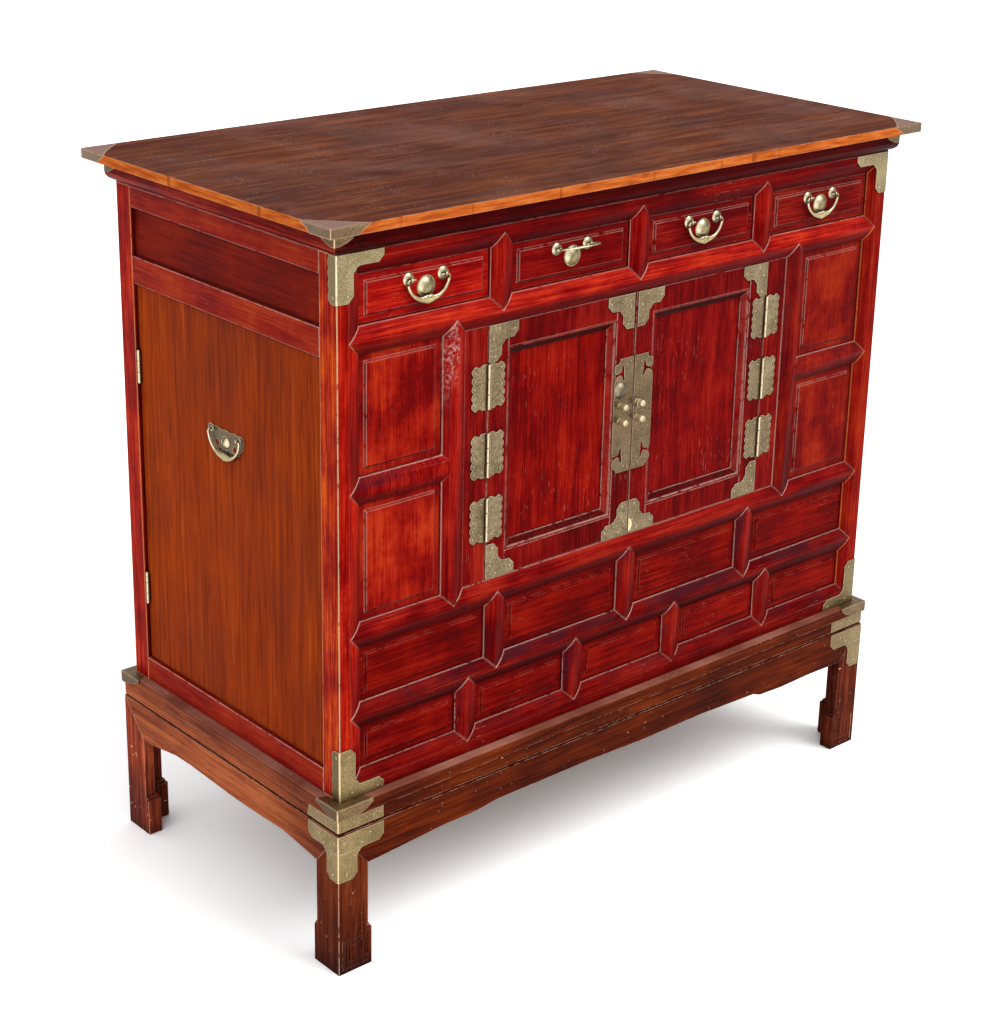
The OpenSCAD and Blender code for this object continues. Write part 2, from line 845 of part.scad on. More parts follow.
// leaf of a front hinge outside its barrel: side -1 is the jamb, 1 the door
module hinge_leaf(side, z) {
  reach = hinge_w / 2;
  inner = barrel_r + hinge_lift;
  slab_y(door_y - plate_t, plate_t) translate([hinge_x, z - hinge_h / 2]) scale_u(side) union() {
    translate([inner, 0]) square([reach - inner - 4, hinge_h]);
    for (k = [0:4]) translate([reach - 4.5, 5 + k * (hinge_h - 10) / 4]) circle(r = 4.5);
  }
}

module scale_u(dir) {
  if (dir > 0) children();
  else mirror([1, 0]) children();
}

// a knuckle of a front hinge with its tongue to the leaf
module knuckle(side, z0, z1) {
  translate([hinge_x, hinge_y, z0]) cylinder(r = barrel_r, h = z1 - z0);
  x = hinge_x + side * (barrel_r + 2);
  box(min(hinge_x, x), max(hinge_x, x), door_y - plate_t, door_y - 0.3, z0, z1);
}

module fixed_hinge_leaves() {
  k = hinge_h / 3;
  color([0.62, 0.57, 0.38]) at_case() both_ends() {
    for (z = hinge_z) {
      hinge_leaf(-1, z);
      knuckle(-1, z - hinge_h / 2, z - k / 2 - knuckle_gap);
      knuckle(-1, z + k / 2 + knuckle_gap, z + hinge_h / 2);
      translate([hinge_x, hinge_y, z - hinge_h / 2 + 1]) cylinder(r = pin_r, h = hinge_h - 2);
    }
    for (z = butt_z) butt_fixed(z);
  }
}

// the fixed half of an end door hinge, on the inner face of the rear post
module butt_fixed(z) {
  k = butt_h / 3;
  z0 = z - butt_h / 2;
  z1 = z + butt_h / 2;
  difference() {
    box(butt_x - 1, 18, post_back - leaf_t, post_back, z0, z1);
    box(-1, butt_x + butt_r + 0.3, post_back - 2, post_back + 1,
      z - k / 2 - knuckle_gap, z + k / 2 + knuckle_gap);
  }
  translate([butt_x, butt_y, z0]) cylinder(r = butt_r, h = k - knuckle_gap);
  translate([butt_x, butt_y, z + k / 2 + knuckle_gap]) cylinder(r = butt_r, h = k - knuckle_gap);
  translate([butt_x, butt_y, z0 + 1]) cylinder(r = pin_r, h = butt_h - 2);
}

// the turning half, let into the edge of the end door
module butt_door(z) {
  k = butt_h / 3;
  y1 = post_back - end_gap;
  difference() {
    union() {
      box(end_recess + 0.05, 18, y1 - leaf_t, y1, z - butt_h / 2, z + butt_h / 2);
      box(butt_x + 0.8, end_recess + 1, y1 - leaf_t, y1, z - k / 2, z + k / 2);
      translate([butt_x, butt_y, z - k / 2]) cylinder(r = butt_r, h = k);
    }
    translate([butt_x, butt_y, z - k]) cylinder(r = pin_r + pin_fit, h = 2 * k);
  }
}

module door_frame() {
  f = door_frame_w;
  box(door_left, door_left + f, door_y, door_y + door_t, door_low, door_high);
  box(door_right - f, door_right, door_y, door_y + door_t, door_low, door_high);
  g = glue_gap;
  box(door_left + f + g, door_right - f - g, door_y, door_y + door_t, door_low, door_low + f);
  box(door_left + f + g, door_right - f - g, door_y, door_y + door_t, door_high - f, door_high);
}

module door_panel() {
  f = door_frame_w;
  x0 = door_left + f + glue_gap;
  x1 = door_right - f - glue_gap;
  z0 = door_low + f;
  z1 = door_high - f;
  ya = door_y + 0.6;
  yb = door_y + 8;
  m = mould_w;
  difference() {
    box(x0, x1, ya, yb, z0, z1);
    intersection() {
      translate([0, 0, z0 - 1]) linear_extrude(z1 - z0 + 2) polygon([
        [x0 + 3, ya - 1], [x0 + 3, ya + 1.2], [x0 + m, yb - 1.5], [x0 + m, yb + 1],
        [x1 - m, yb + 1], [x1 - m, yb - 1.5], [x1 - 3, ya + 1.2], [x1 - 3, ya - 1]
      ]);
      translate([x0 - 1, 0, 0]) rotate([90, 0, 90]) linear_extrude(x1 - x0 + 2) polygon([
        [ya - 1, z0 + 3], [ya + 1.2, z0 + 3], [yb - 1.5, z0 + m], [yb + 1, z0 + m],
        [yb + 1, z1 - m], [yb - 1.5, z1 - m], [ya + 1.2, z1 - 3], [ya - 1, z1 - 3]
      ]);
    }
  }
  box(x0, x1, yb + glue_gap, yb + door_panel_t, z0, z1);
}

module door_plate() {
  angle_outline(door_plate_w, door_plate_h, 19, 18.6);
}

module door_fittings() {
  t = plate_t;
  y0 = door_y - t;
  k = hinge_h / 3;
  slab_y(y0, t) {
    translate([door_left, door_low]) door_plate();
    translate([door_left, door_high]) mirror([0, 1]) door_plate();
    translate([door_right, door_low]) mirror([1, 0]) door_plate();
    translate([door_right, door_high]) mirror([1, 0]) mirror([0, 1]) door_plate();
  }
  for (z = hinge_z) {
    hinge_leaf(1, z);
    difference() {
      knuckle(1, z - k / 2, z + k / 2);
      translate([hinge_x, hinge_y, z - k]) cylinder(r = pin_r + pin_fit, h = 2 * k);
    }
  }
}

// a lock plate with hooked cuts, two pegs and, on the left door, a dome
module lock_plate(peg_in, dome) {
  t = plate_t;
  x1 = door_right - 0.4;
  x0 = x1 - lock_w;
  z0 = cross_line + 2.6 - lock_h / 2;
  z1 = z0 + lock_h;
  s = plate_step + 0.5;
  slab_y(door_y - t, t) difference() {
    polygon([
      [x0 + 2 * s, z0], [x1, z0], [x1, z1], [x0 + 2 * s, z1], [x0 + 2 * s, z1 - s],
      [x0 + s, z1 - s], [x0 + s, z1 - 2 * s], [x0, z1 - 2 * s], [x0, z0 + 2 * s],
      [x0 + s, z0 + 2 * s], [x0 + s, z0 + s], [x0 + 2 * s, z0 + s]
    ]);
    for (z = [z0 + hook_in, z1 - hook_in]) translate([x0, z]) {
      translate([-1, -hook_t / 2]) square([hook_x, hook_t]);
      translate([hook_x, 0]) circle(r = hook_end_r);
      translate([hook_x, -hook_h / 2]) square([hook_t, hook_h]);
    }
  }
  for (z = [z1 - 60, z1 - 80]) translate([x0 + peg_in, door_y - t + 0.2, z]) {
    rotate([90, 0, 0]) cylinder(r = peg_r, h = peg_l);
    rotate([90, 0, 0]) cylinder(r1 = 2 * peg_r, r2 = peg_r, h = 3);
    translate([0, 0.4 - peg_l, 0]) sphere(r = peg_ball_r);
  }
  if (dome) translate([x0 + hook_x, door_y - t + 7.3, z1 - 40.5]) intersection() {
    sphere(r = 12.5);
    rotate([90, 0, 0]) translate([0, 0, 7.2]) cylinder(r = 13, h = 8);
  }
}

// one drawer in the opening that starts at x0
module drawer(x0) {
  xa = x0 + drawer_gap;
  xb = x0 + drawer_w - drawer_gap;
  yb = field_y + drawer_d;
  yf = border_y + drawer_front_t;
  s = drawer_side;
  x2 = x0 + box_in;
  x3 = x0 + drawer_w - box_in;
  z0 = drawer_low;
  g = glue_gap;
  drawer_front(xa, xb);
  box(x2, x2 + s, yf + g, yb, z0, z0 + box_h);
  box(x3 - s, x3, yf + g, yb, z0, z0 + box_h);
  box(x2 + s + g, x3 - s - g, yb - s, yb, z0, z0 + box_h);
  box(x2 + s + g, x3 - s - g, yf + g, yb - s - g, z0 + 2, z0 + 7);
}

module drawer_front(x0, x1) {
  box(x0, x1, border_y, border_y + drawer_front_t, drawer_low, drawer_high);
  raised_field(x0, x1, drawer_low, drawer_high);
}

// a round boss of height h and radius r on a face, drawn upward from z = 0
module boss(r, h) {
  ball = (r * r + h * h) / (2 * h);
  intersection() {
    translate([0, 0, h - ball]) sphere(r = ball);
    cylinder(r = r + 1, h = h + 1);
  }
}

// two posts on rosettes that carry the bail and a dome on a thin disc between them
module drawer_handle(x0) {
  xc = x0 + drawer_w / 2;
  for (s = [-1, 1]) translate([xc + s * knob_half, field_y, pivot_z]) difference() {
    rotate([90, 0, 0]) union() {
      boss(knob_r, 3);
      cylinder(r = stem_r, h = pivot_out);
      translate([0, 0, pivot_out]) sphere(r = stem_r);
    }
    translate([-9, -pivot_out, 0]) rotate([0, 90, 0]) cylinder(r = end_pin_r + pin_fit, h = 18);
  }
  translate([xc, field_y, pivot_z - dome_down]) rotate([90, 0, 0]) {
    cylinder(r = 13.5, h = 0.8);
    boss(12, 5.5);
  }
}

// a bail about its pivot line, hanging down in the plane y = 0, with a crescent in the middle
module bail(radius, wire, reach_in) {
  flat = 1.5 * radius;
  rotate([90, 0, 0]) rotate([0, 0, 180]) rotate_extrude(angle = 180, $fn = 96)
    translate([radius, 0]) circle(r = wire, $fn = 24);
  for (s = [-1, 1]) {
    translate([s * radius, 0, 0]) sphere(r = wire, $fn = 24);
    translate([s * radius, 0, 0]) rotate([0, -s * 90, 0]) cylinder(r = end_pin_r, h = radius - reach_in);
  }
  difference() {
    slab_y(-bail_plate / 2, bail_plate) difference() {
      circle(r = radius + wire, $fn = 96);
      translate([0, flat]) circle(r = flat + radius + wire - crescent_h, $fn = 96);
    }
    box(-radius - 9, radius + 9, -9, 9, -radius / 2, radius + 9);
  }
}

module drawer_bail(x0, up) {
  translate([x0 + drawer_w / 2, pivot_y, pivot_z]) rotate([-up, 0, 0])
    bail(bail_r, wire_r, knob_half - stem_r - 3);
}

module end_door() {
  y0 = post_d + end_gap;
  y1 = post_back - end_gap;
  difference() {
    box(end_recess, end_recess + end_door_t, y0, y1, end_low + 0.8, end_high - 0.8);
    for (z = butt_z)
      box(end_recess - 1, 18.2, y1 - leaf_t, y1 + 1, z - butt_h / 2 - 0.2, z + butt_h / 2 + 0.2);
  }
}

// plate shaped like a bat, with lobed wings, on the face of an end door
module bat_plate() {
  k = bat_w / 74;
  slab_x(end_recess - 1, 1) translate([end_handle_y, end_handle_z - 12]) scale([k, k]) difference() {
    union() {
      polygon([
        [-37, 10], [-36, 16], [-31, 18], [-24, 17], [-17, 18], [-9, 16], [0, 18], [9, 16],
        [17, 18], [24, 17], [31, 18], [36, 16], [37, 10], [33, 0], [26, -8], [16, -14], [5, -18],
        [0, -20.5], [-5, -18], [-16, -14], [-26, -8], [-33, 0]
      ]);
      for (s = [-1, 1]) translate([s * 28, 12]) circle(r = 7.5);
    }
    for (s = [-1, 1]) {
      translate([s * 18, -2]) circle(r = 4.2);
      translate([s * 12, -9]) circle(r = 2.6);
    }
  }
}

module end_brass() {
  for (z = butt_z) butt_door(z);
  bat_plate();
  translate([end_recess - 1, end_handle_y, end_handle_z - 10]) intersection() {
    translate([3.4, 0, 0]) sphere(r = 8.5);
    rotate([0, -90, 0]) translate([0, 0, -0.5]) cylinder(r = 9, h = 6);
  }
  for (s = [-1, 1]) translate([end_recess - 0.5, end_handle_y + s * end_knob_half, end_handle_z])
    difference() {
      rotate([0, -90, 0]) union() {
        cylinder(r = 2.7, h = 7);
        translate([0, 0, 6]) cylinder(r1 = 3.5, r2 = 2.4, h = 1.5);
      }
      translate([-4, -5, 0]) rotate([-90, 0, 0]) cylinder(r = end_pin_r + pin_fit, h = 10);
    }
}

module end_bail() {
  translate([end_pivot_x, end_handle_y, end_handle_z]) rotate([0, 0, 90])
    bail(end_bail_r, end_wire_r, end_knob_half - 2.7 - 0.6);
}

module left_door_frame() { color([0.6, 0.07, 0.05]) at_case() door_frame(); }
module left_door_panel() { color([0.55, 0.1, 0.05]) at_case() door_panel(); }
module left_door_fittings() { color([0.6, 0.56, 0.4]) at_case() door_fittings(); }
module left_lock_plate() { color([0.55, 0.52, 0.38]) at_case() lock_plate(left_peg_in, true); }
module right_door_frame() { color([0.6, 0.07, 0.05]) at_case() flip_x() door_frame(); }
module right_door_panel() { color([0.55, 0.1, 0.05]) at_case() flip_x() door_panel(); }
module right_door_fittings() { color([0.6, 0.56, 0.4]) at_case() flip_x() door_fittings(); }
module right_lock_plate() { color([0.55, 0.52, 0.38]) at_case() flip_x() lock_plate(right_peg_in, false); }

module drawer_1() { color([0.62, 0.08, 0.05]) at_case() drawer(drawer_x[0]); }
module drawer_2() { color([0.62, 0.08, 0.05]) at_case() drawer(drawer_x[1]); }
module drawer_3() { color([0.62, 0.08, 0.05]) at_case() drawer(drawer_x[2]); }
module drawer_4() { color([0.62, 0.08, 0.05]) at_case() drawer(drawer_x[3]); }
module drawer_handle_1() { color([0.7, 0.66, 0.55]) at_case() drawer_handle(drawer_x[0]); }
module drawer_handle_2() { color([0.7, 0.66, 0.55]) at_case() drawer_handle(drawer_x[1]); }
module drawer_handle_3() { color([0.7, 0.66, 0.55]) at_case() drawer_handle(drawer_x[2]); }
module drawer_handle_4() { color([0.7, 0.66, 0.55]) at_case() drawer_handle(drawer_x[3]); }
module drawer_bail_1() { color([0.75, 0.7, 0.55]) at_case() drawer_bail(drawer_x[0], 0); }
module drawer_bail_2() { color([0.75, 0.7, 0.55]) at_case() drawer_bail(drawer_x[1], 90 + raised_up); }
module drawer_bail_3() { color([0.75, 0.7, 0.55]) at_case() drawer_bail(drawer_x[2], 0); }
module drawer_bail_4() { color([0.75, 0.7, 0.55]) at_case() drawer_bail(drawer_x[3], 0); }

module left_end_door() { color([0.4, 0.17, 0.08]) at_case() end_door(); }
module left_end_brass() { color([0.6, 0.56, 0.4]) at_case() end_brass(); }
module left_end_bail() { color([0.75, 0.7, 0.55]) at_case() end_bail(); }
module right_end_door() { color([0.4, 0.17, 0.08]) at_case() flip_x() end_door(); }
module right_end_brass() { color([0.6, 0.56, 0.4]) at_case() flip_x() end_brass(); }
module right_end_bail() { color([0.75, 0.7, 0.55]) at_case() flip_x() end_bail(); }

stand_legs();
stand_aprons();
stand_frame();
stand_brass();
front_posts();
rear_posts();
front_top_rail();
drawer_rail();
sill_rail();
middle_rail();
bottom_rail();
drawer_muntins();
row_muntins();
column_muntins();
column_panels();
row_panels();
door_jambs();
end_rails();
end_upper_panels();
back_frame();
back_panels();
bottom_board();
partitions();
shelves();
dust_board();
drawer_guides();
cornice();
top_board();
top_brass();
case_corner_plates();
fixed_hinge_leaves();
left_door_frame();
left_door_panel();
left_door_fittings();
left_lock_plate();
right_door_frame();
right_door_panel();
right_door_fittings();
right_lock_plate();
drawer_1();
drawer_2();
drawer_3();
drawer_4();
drawer_handle_1();
drawer_handle_2();
drawer_handle_3();
drawer_handle_4();
drawer_bail_1();
drawer_bail_2();
drawer_bail_3();
drawer_bail_4();
left_end_door();
left_end_brass();
left_end_bail();
right_end_door();
right_end_brass();
right_end_bail();
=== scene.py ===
"""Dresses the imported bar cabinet: red lacquer, mahogany and veneers, aged brass, lights and camera."""

import json
from math import cos, exp, pi, radians, sin, sqrt

import bmesh
import bpy
from mathutils import Matrix, Vector


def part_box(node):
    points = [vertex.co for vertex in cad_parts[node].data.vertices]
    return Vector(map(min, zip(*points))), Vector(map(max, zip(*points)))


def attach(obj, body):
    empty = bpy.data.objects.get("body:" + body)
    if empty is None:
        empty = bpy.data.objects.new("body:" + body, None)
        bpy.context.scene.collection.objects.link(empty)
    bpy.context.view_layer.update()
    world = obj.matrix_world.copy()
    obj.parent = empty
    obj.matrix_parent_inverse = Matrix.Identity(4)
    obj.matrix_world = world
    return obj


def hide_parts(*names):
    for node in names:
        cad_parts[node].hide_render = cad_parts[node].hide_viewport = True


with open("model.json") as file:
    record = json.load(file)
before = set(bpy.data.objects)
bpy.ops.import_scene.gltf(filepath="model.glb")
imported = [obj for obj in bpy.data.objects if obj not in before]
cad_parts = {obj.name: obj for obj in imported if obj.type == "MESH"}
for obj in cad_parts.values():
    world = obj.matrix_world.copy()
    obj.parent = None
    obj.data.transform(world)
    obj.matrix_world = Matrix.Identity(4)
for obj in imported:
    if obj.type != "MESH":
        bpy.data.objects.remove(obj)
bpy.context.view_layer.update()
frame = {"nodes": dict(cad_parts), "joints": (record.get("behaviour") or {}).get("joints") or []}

nodes = frame["nodes"]

# The case's own frame: millimetres from its lower front left corner, x along the front, y to the back, z up.
MM = 0.001
CORNER = Vector(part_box("front_posts")[0])


def case_box(node):
    """Lowest and highest corner of a CAD node in the case's own frame."""
    return [(Vector(corner) - CORNER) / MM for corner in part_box(node)]


CASE_W, CASE_H = case_box("front_posts")[1].x, case_box("front_posts")[1].z
CASE_D = case_box("rear_posts")[1].y
STAND_OUT = -case_box("stand_aprons")[0].x
LEDGE_OUT = -case_box("stand_frame")[0].x
STAND_TOP = case_box("stand_aprons")[1].z
BOARD_LOW, BOARD_HIGH = case_box("top_board")
LIP_OUT = -case_box("cornice")[0].x
DOOR_LOW, DOOR_HIGH = case_box("left_door_frame")
DOOR_Y = DOOR_LOW.y
DRAWER_Y = case_box("drawer_1")[0].y
END_X = case_box("left_end_door")[0].x
pivots = {}
for joint in frame["joints"]:
    if "pos_m" in joint:
        pivots[joint["name"]] = (Vector(joint["pos_m"]) - CORNER) / MM

# brass, in millimetres
PLATE_T = 1.2
THIN_T = 0.8
STEP = 4
HINGE_TALL = 55
HINGE_ZS = (295.7, 376.35, 460)
BARREL_R = 2.6
BUTT_ZS = (129.5, 424.5)
BUTT_TALL = 43
LEDGE_H = 14.5


def placed(name, data):
    """A new object in the scene."""
    made = bpy.data.objects.new(name, data)
    bpy.context.scene.collection.objects.link(made)
    return made


# looks


def rgb(red, green, blue):
    """A colour as it looks on a screen, 0 to 255, made linear for the shader."""
    linear = []
    for value in (red, green, blue):
        share = value / 255
        linear.append(share / 12.92 if share <= 0.04045 else ((share + 0.055) / 1.055) ** 2.4)
    return (*linear, 1.0)


def tones(places, *colours):
    """The stops of a colour ramp: colours as they look on a screen, each at its place."""
    return [(place, rgb(*colour)) for place, colour in zip(places, colours)]


def dimmed(colour, red, green, blue):
    """A linear colour with its parts multiplied."""
    return (min(colour[0] * red, 1), min(colour[1] * green, 1), min(colour[2] * blue, 1), 1.0)


class Nodes:
    """The nodes of a material or a sky. The methods give back output sockets, but add gives the node."""

    def __init__(self, owner):
        owner.use_nodes = True
        self.tree = owner.node_tree

    def add(self, kind, inputs=None, **settings):
        made = self.tree.nodes.new("ShaderNode" + kind)
        for key, value in settings.items():
            setattr(made, key, value)
        for key, value in (inputs or {}).items():
            self.put(made.inputs[key], value)
        return made

    def put(self, socket, value):
        if isinstance(value, bpy.types.NodeSocket):
            self.tree.links.new(value, socket)
        else:
            socket.default_value = value

    def calc(self, operation, first, second=0.0):
        return self.add("Math", {0: first, 1: second}, operation=operation).outputs[0]

    def times(self, *shares):
        product = shares[0]
        for share in shares[1:]:
            product = self.calc("MULTIPLY", product, share)
        return product

    def remap(self, value, low, high, to_low=0.0, to_high=1.0):
        made = self.add("MapRange", {"Value": value, "From Min": low, "From Max": high,
                                     "To Min": to_low, "To Max": to_high})
        return made.outputs[0]

    def seen(self):
        """1 where the camera or a reflection looks, 0 for the light that surfaces get."""
        path = self.add("LightPath").outputs
        return self.calc("MAXIMUM", path["Is Camera Ray"], path["Is Glossy Ray"])

    def mix(self, share, first, second, blend="MIX"):
        colours = {0: share, 6: first, 7: second}
        return self.add("Mix", colours, data_type="RGBA", blend_type=blend).outputs[2]


class Look(Nodes):
    """One node material, with the colour that its methods build up."""

    def __init__(self, name, **constants):
        self.material = bpy.data.materials.new(name)
        super().__init__(self.material)
        self.surface = self.tree.nodes["Principled BSDF"]
        for socket, value in constants.items():
            self.surface.inputs[socket.replace("_", " ")].default_value = value
        self.coords = self.add("TexCoord").outputs
        chance = self.add("ObjectInfo").outputs["Random"]
        moved = self.add("VectorMath", {0: self.coords["Object"], 1: self.calc("MULTIPLY", chance, 7)})
        self.place = moved.outputs["Vector"]

    def parted(self, vector):
        """The three parts of a vector."""
        return self.add("SeparateXYZ", {"Vector": vector}).outputs

    def spot(self, axis):
        """How far along an axis of the object the surface lies, in metres."""
        return self.parted(self.coords["Object"])[axis]

    def turn_at_mitres(self, node):
        """Turns the grain by a quarter where a mitred frame runs from front to back."""
        low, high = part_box(node)
        off = []
        for k in (0, 1):
            off.append(self.calc("ABSOLUTE", self.calc("SUBTRACT", self.spot(k), (low[k] + high[k]) / 2)))
        half = ((high[0] - low[0]) - (high[1] - low[1])) / 2
        at_end = self.calc("GREATER_THAN", self.calc("SUBTRACT", off[0], off[1]), half)
        moved = self.parted(self.place)
        turned = self.add("CombineXYZ", {0: moved[1], 1: moved[0], 2: moved[2]}).outputs[0]
        places = {0: at_end, 4: self.place, 5: turned}
        self.place = self.add("Mix", places, data_type="VECTOR").outputs[1]

    def noise(self, scale, detail, roughness, distortion=0.0, place=None):
        made = self.add("TexNoise", {"Vector": place or self.place, "Scale": scale, "Detail": detail,
                                     "Roughness": roughness, "Distortion": distortion})
        return made.outputs["Fac"]

    def fibres(self, grain, across, along, detail, roughness, distortion=0.0):
        """Noise stretched along one axis: its features are 1/across wide and 1/along long, in metres."""
        scale = [across] * 3
        scale[grain] = along
        place = self.add("Mapping", {"Vector": self.place, "Scale": scale}).outputs[0]
        return self.noise(1, detail, roughness, distortion, place)

    def patches(self, low, high, *noise):
        """Noise cut to patches: 0 where it is under low, 1 where it is over high."""
        return self.remap(self.noise(*noise), low, high)

    def ramp(self, value, stops):
        made = self.add("ValToRGB", {"Fac": value})
        elements = made.color_ramp.elements
        while len(elements) < len(stops):
            elements.new(0.5)
        for element, (position, colour) in zip(elements, stops):
            element.position = position
            element.color = colour
        return made.outputs["Color"]

    def tint(self, colour, *shares):
        """Lays a colour over the look's colour, by the product of the shares."""
        self.colour = self.mix(self.times(*shares), self.colour, colour)

    def edges(self, radius, low, high):
        """Near 1 on arrises and in corners, 0 on flats."""
        rounded = self.add("Bevel", {"Radius": radius}, samples=4).outputs[0]
        plain = self.add("NewGeometry").outputs["Normal"]
        dot = self.add("VectorMath", {0: rounded, 1: plain}, operation="DOT_PRODUCT")
        return self.remap(dot.outputs["Value"], low, high)

    def open_air(self, distance):
        """1 in the open, less in hollows."""
        return self.add("AmbientOcclusion", {"Distance": distance}, samples=6).outputs["AO"]

    def turned(self, axis):
        """How far the surface faces along an axis of the object, from -1 to 1."""
        return self.parted(self.coords["Normal"])[axis]

    def facing(self, axis):
        """How far the surface faces along an axis of the object, either way."""
        return self.calc("ABSOLUTE", self.turned(axis))

    def tilt(self):
        """How far the surface turns up and to the left from facing front. It is under 0 down and right."""
        return self.calc("SUBTRACT", self.times(self.turned("Z"), 0.8), self.times(self.turned("X"), 0.6))

    def unless(self, share):
        """1 where the share is 0, and 0 where it is 1."""
        return self.calc("SUBTRACT", 1.0, share)

    def finish(self, roughness, height, strength, distance=0.0003):
        """Puts the colour, a roughness and a relief on the surface."""
        self.put(self.surface.inputs["Base Color"], self.colour)
        self.put(self.surface.inputs["Roughness"], roughness)
        relief = self.add("Bump", {"Height": height, "Strength": strength, "Distance": distance})
        self.put(self.surface.inputs["Normal"], relief.outputs["Normal"])
        return self.material

    def finish_grain(self, low, high, strength):
        """Finishes wood: its clouds change the roughness and its pores are pressed in."""
        return self.finish(self.remap(self.clouds, 0.3, 0.7, low, high), self.pores, strength)


def red_lacquer(name, grain, tone, side=None, rub=0.8, mitred=None, pale=rgb(246, 190, 174), pale_right=None,
                streaky=1.0, bloom=0.0, flaked=0.0, scuffed=0.0, moulded=False, rim=0.0014, dim_right=0.0,
                even=0.0, end_from=0.9, bare_behind=None, hollow=0.75):
    """Old red lacquer on wood: streaks along the grain, painted shade and sheens, rubbed arrises that are
    partly painted highlights, and scuffs.
    """
    look = Look(name, Specular_IOR_Level=0.02)
    if mitred:
        look.turn_at_mitres(mitred)
    fine = look.fibres(grain, 420, 14, 5, 0.65, 0.2)
    broad = look.fibres(grain, 75, 5, 3, 0.5, 0.2)
    look.clouds = look.noise(13, 5, 0.65)
    shade = look.calc("ADD", look.times(fine, 0.42 * streaky), look.times(broad, 0.22 * streaky))
    shade = look.calc("ADD", shade, look.times(look.clouds, 1 - 0.64 * streaky))
    if even:
        shade = look.remap(shade, 0.0, 1.0, 0.5 * even, 1 - 0.5 * even)

    def shades(middle):
        return look.ramp(shade, [
            (0.42, dimmed(middle, 0.42, 0.1, 0.35)), (0.475, dimmed(middle, 0.78, 0.45, 0.7)),
            (0.525, dimmed(middle, 1.12, 1.2, 1.05)), (0.59, dimmed(middle, 1.5, 3.2, 1.9))])

    look.colour = shades(tone)
    if side:
        look.tint(shades(side), look.remap(look.facing("X"), end_from, end_from + 0.07))
    look.pores = look.fibres(grain, 900, 45, 3, 0.65)
    look.tint(dimmed(tone, 0.3, 0.2, 0.6), look.remap(look.pores, 0.58, 0.70, 0.0, 0.55))
    tilt = look.tilt()
    lit = look.remap(tilt, 0.1, 0.35)
    # painted sheen: a dark violet reflection, in patches, on faces turned up or to the left
    if bloom:
        sheen = look.times(look.remap(tilt, 0.14, 0.32), look.patches(0.42, 0.6, 14, 4, 0.6))
        look.tint(rgb(58, 24, 34), sheen, bloom)
    # painted shade on faces turned down or to the right, though not on the full end faces
    away = look.times(look.remap(tilt, -0.06, -0.4, 0.0, 0.7), look.remap(look.facing("X"), 0.97, 0.9))
    look.tint(dimmed(tone, 0.2, 0.1, 0.6), away)
    if moulded:
        # painted shade on the sloping faces of the mouldings
        slope = look.times(look.remap(look.facing("Z"), 0.15, 0.3), look.remap(look.facing("Y"), 0.2, 0.4))
        look.tint(rgb(34, 6, 8), slope, 0.72)
        # painted pink reflection, in patches, on faces of the mouldings turned to the left
        sheen = look.times(look.remap(look.turned("X"), -0.15, -0.35), look.patches(0.35, 0.6, 60, 4, 0.7))
        look.tint(rgb(176, 74, 66), sheen, 0.35)
    # painted shade in hollows, by the hollow share
    far = look.open_air(0.035)
    look.tint(dimmed(tone, 0.34, 0.1, 0.5), look.remap(far, 0.97, 0.55, 0.0, hollow))
    # painted shade in narrow gaps, left off faces turned up or to the left
    near = look.open_air(0.006)
    look.tint(rgb(44, 6, 10), look.remap(near, 0.75, 0.4, 0.0, 0.8), look.unless(lit))
    if flaked:
        # only on the upper part of the left column's upright
        column = look.times(look.remap(look.spot("Z"), CORNER.z + 0.44, CORNER.z + 0.50),
                            look.remap(look.spot("X"), CORNER.x + 0.30, CORNER.x + 0.25))
        strips = look.remap(look.fibres(grain, 75, 9, 2, 0.5), 0.5, 0.57)
        # pale flakes, partly wear and partly a painted highlight: kept off faces turned down or to the right
        flakes = look.times(look.patches(0.49, 0.62, 240, 5, 0.75), look.remap(tilt, -0.1, 0.05),
                            strips, column)
        look.tint(rgb(240, 204, 196), flakes, flaked)
    # rubbed arrises in a pale colour: partly wear, partly a painted highlight, strongest where they turn up
    # or to the left and also shown on lit faces in hollows
    patchy = look.patches(0.54 - 0.2 * rub, 0.64 - 0.2 * rub, 70, 5, 0.75)
    open_edge = look.calc("MAXIMUM", look.remap(near, 0.6, 0.8), lit)
    up_or_left = look.remap(tilt, -0.3, 0.3, 0.12, 1.0)
    rubbed = look.times(look.edges(rim, 0.998, 0.965), patchy, open_edge, up_or_left)
    across = look.remap(look.spot("X"), -0.2, 0.2)
    if pale_right:
        pale = look.mix(across, pale, pale_right)
    # painted shade: darker towards the right
    if dim_right:
        look.tint(rgb(60, 14, 14), across, dim_right)
    look.tint(pale, rubbed, rub)
    scuffs = look.times(look.remap(look.fibres(grain, 700, 60, 3, 0.6), 0.65, 0.70),
                        look.patches(0.58 - scuffed, 0.68 - scuffed, 9, 2, 0.5))
    look.tint(rgb(198, 136, 124), scuffs, 0.5)
    if bare_behind:
        bare = look.ramp(shade, tones((0.42, 0.58), (150, 104, 64), (188, 142, 96)))
        look.tint(bare, look.calc("GREATER_THAN", look.spot("Y"), bare_behind))
    return look.finish_grain(0.32, 0.5, 0.15)


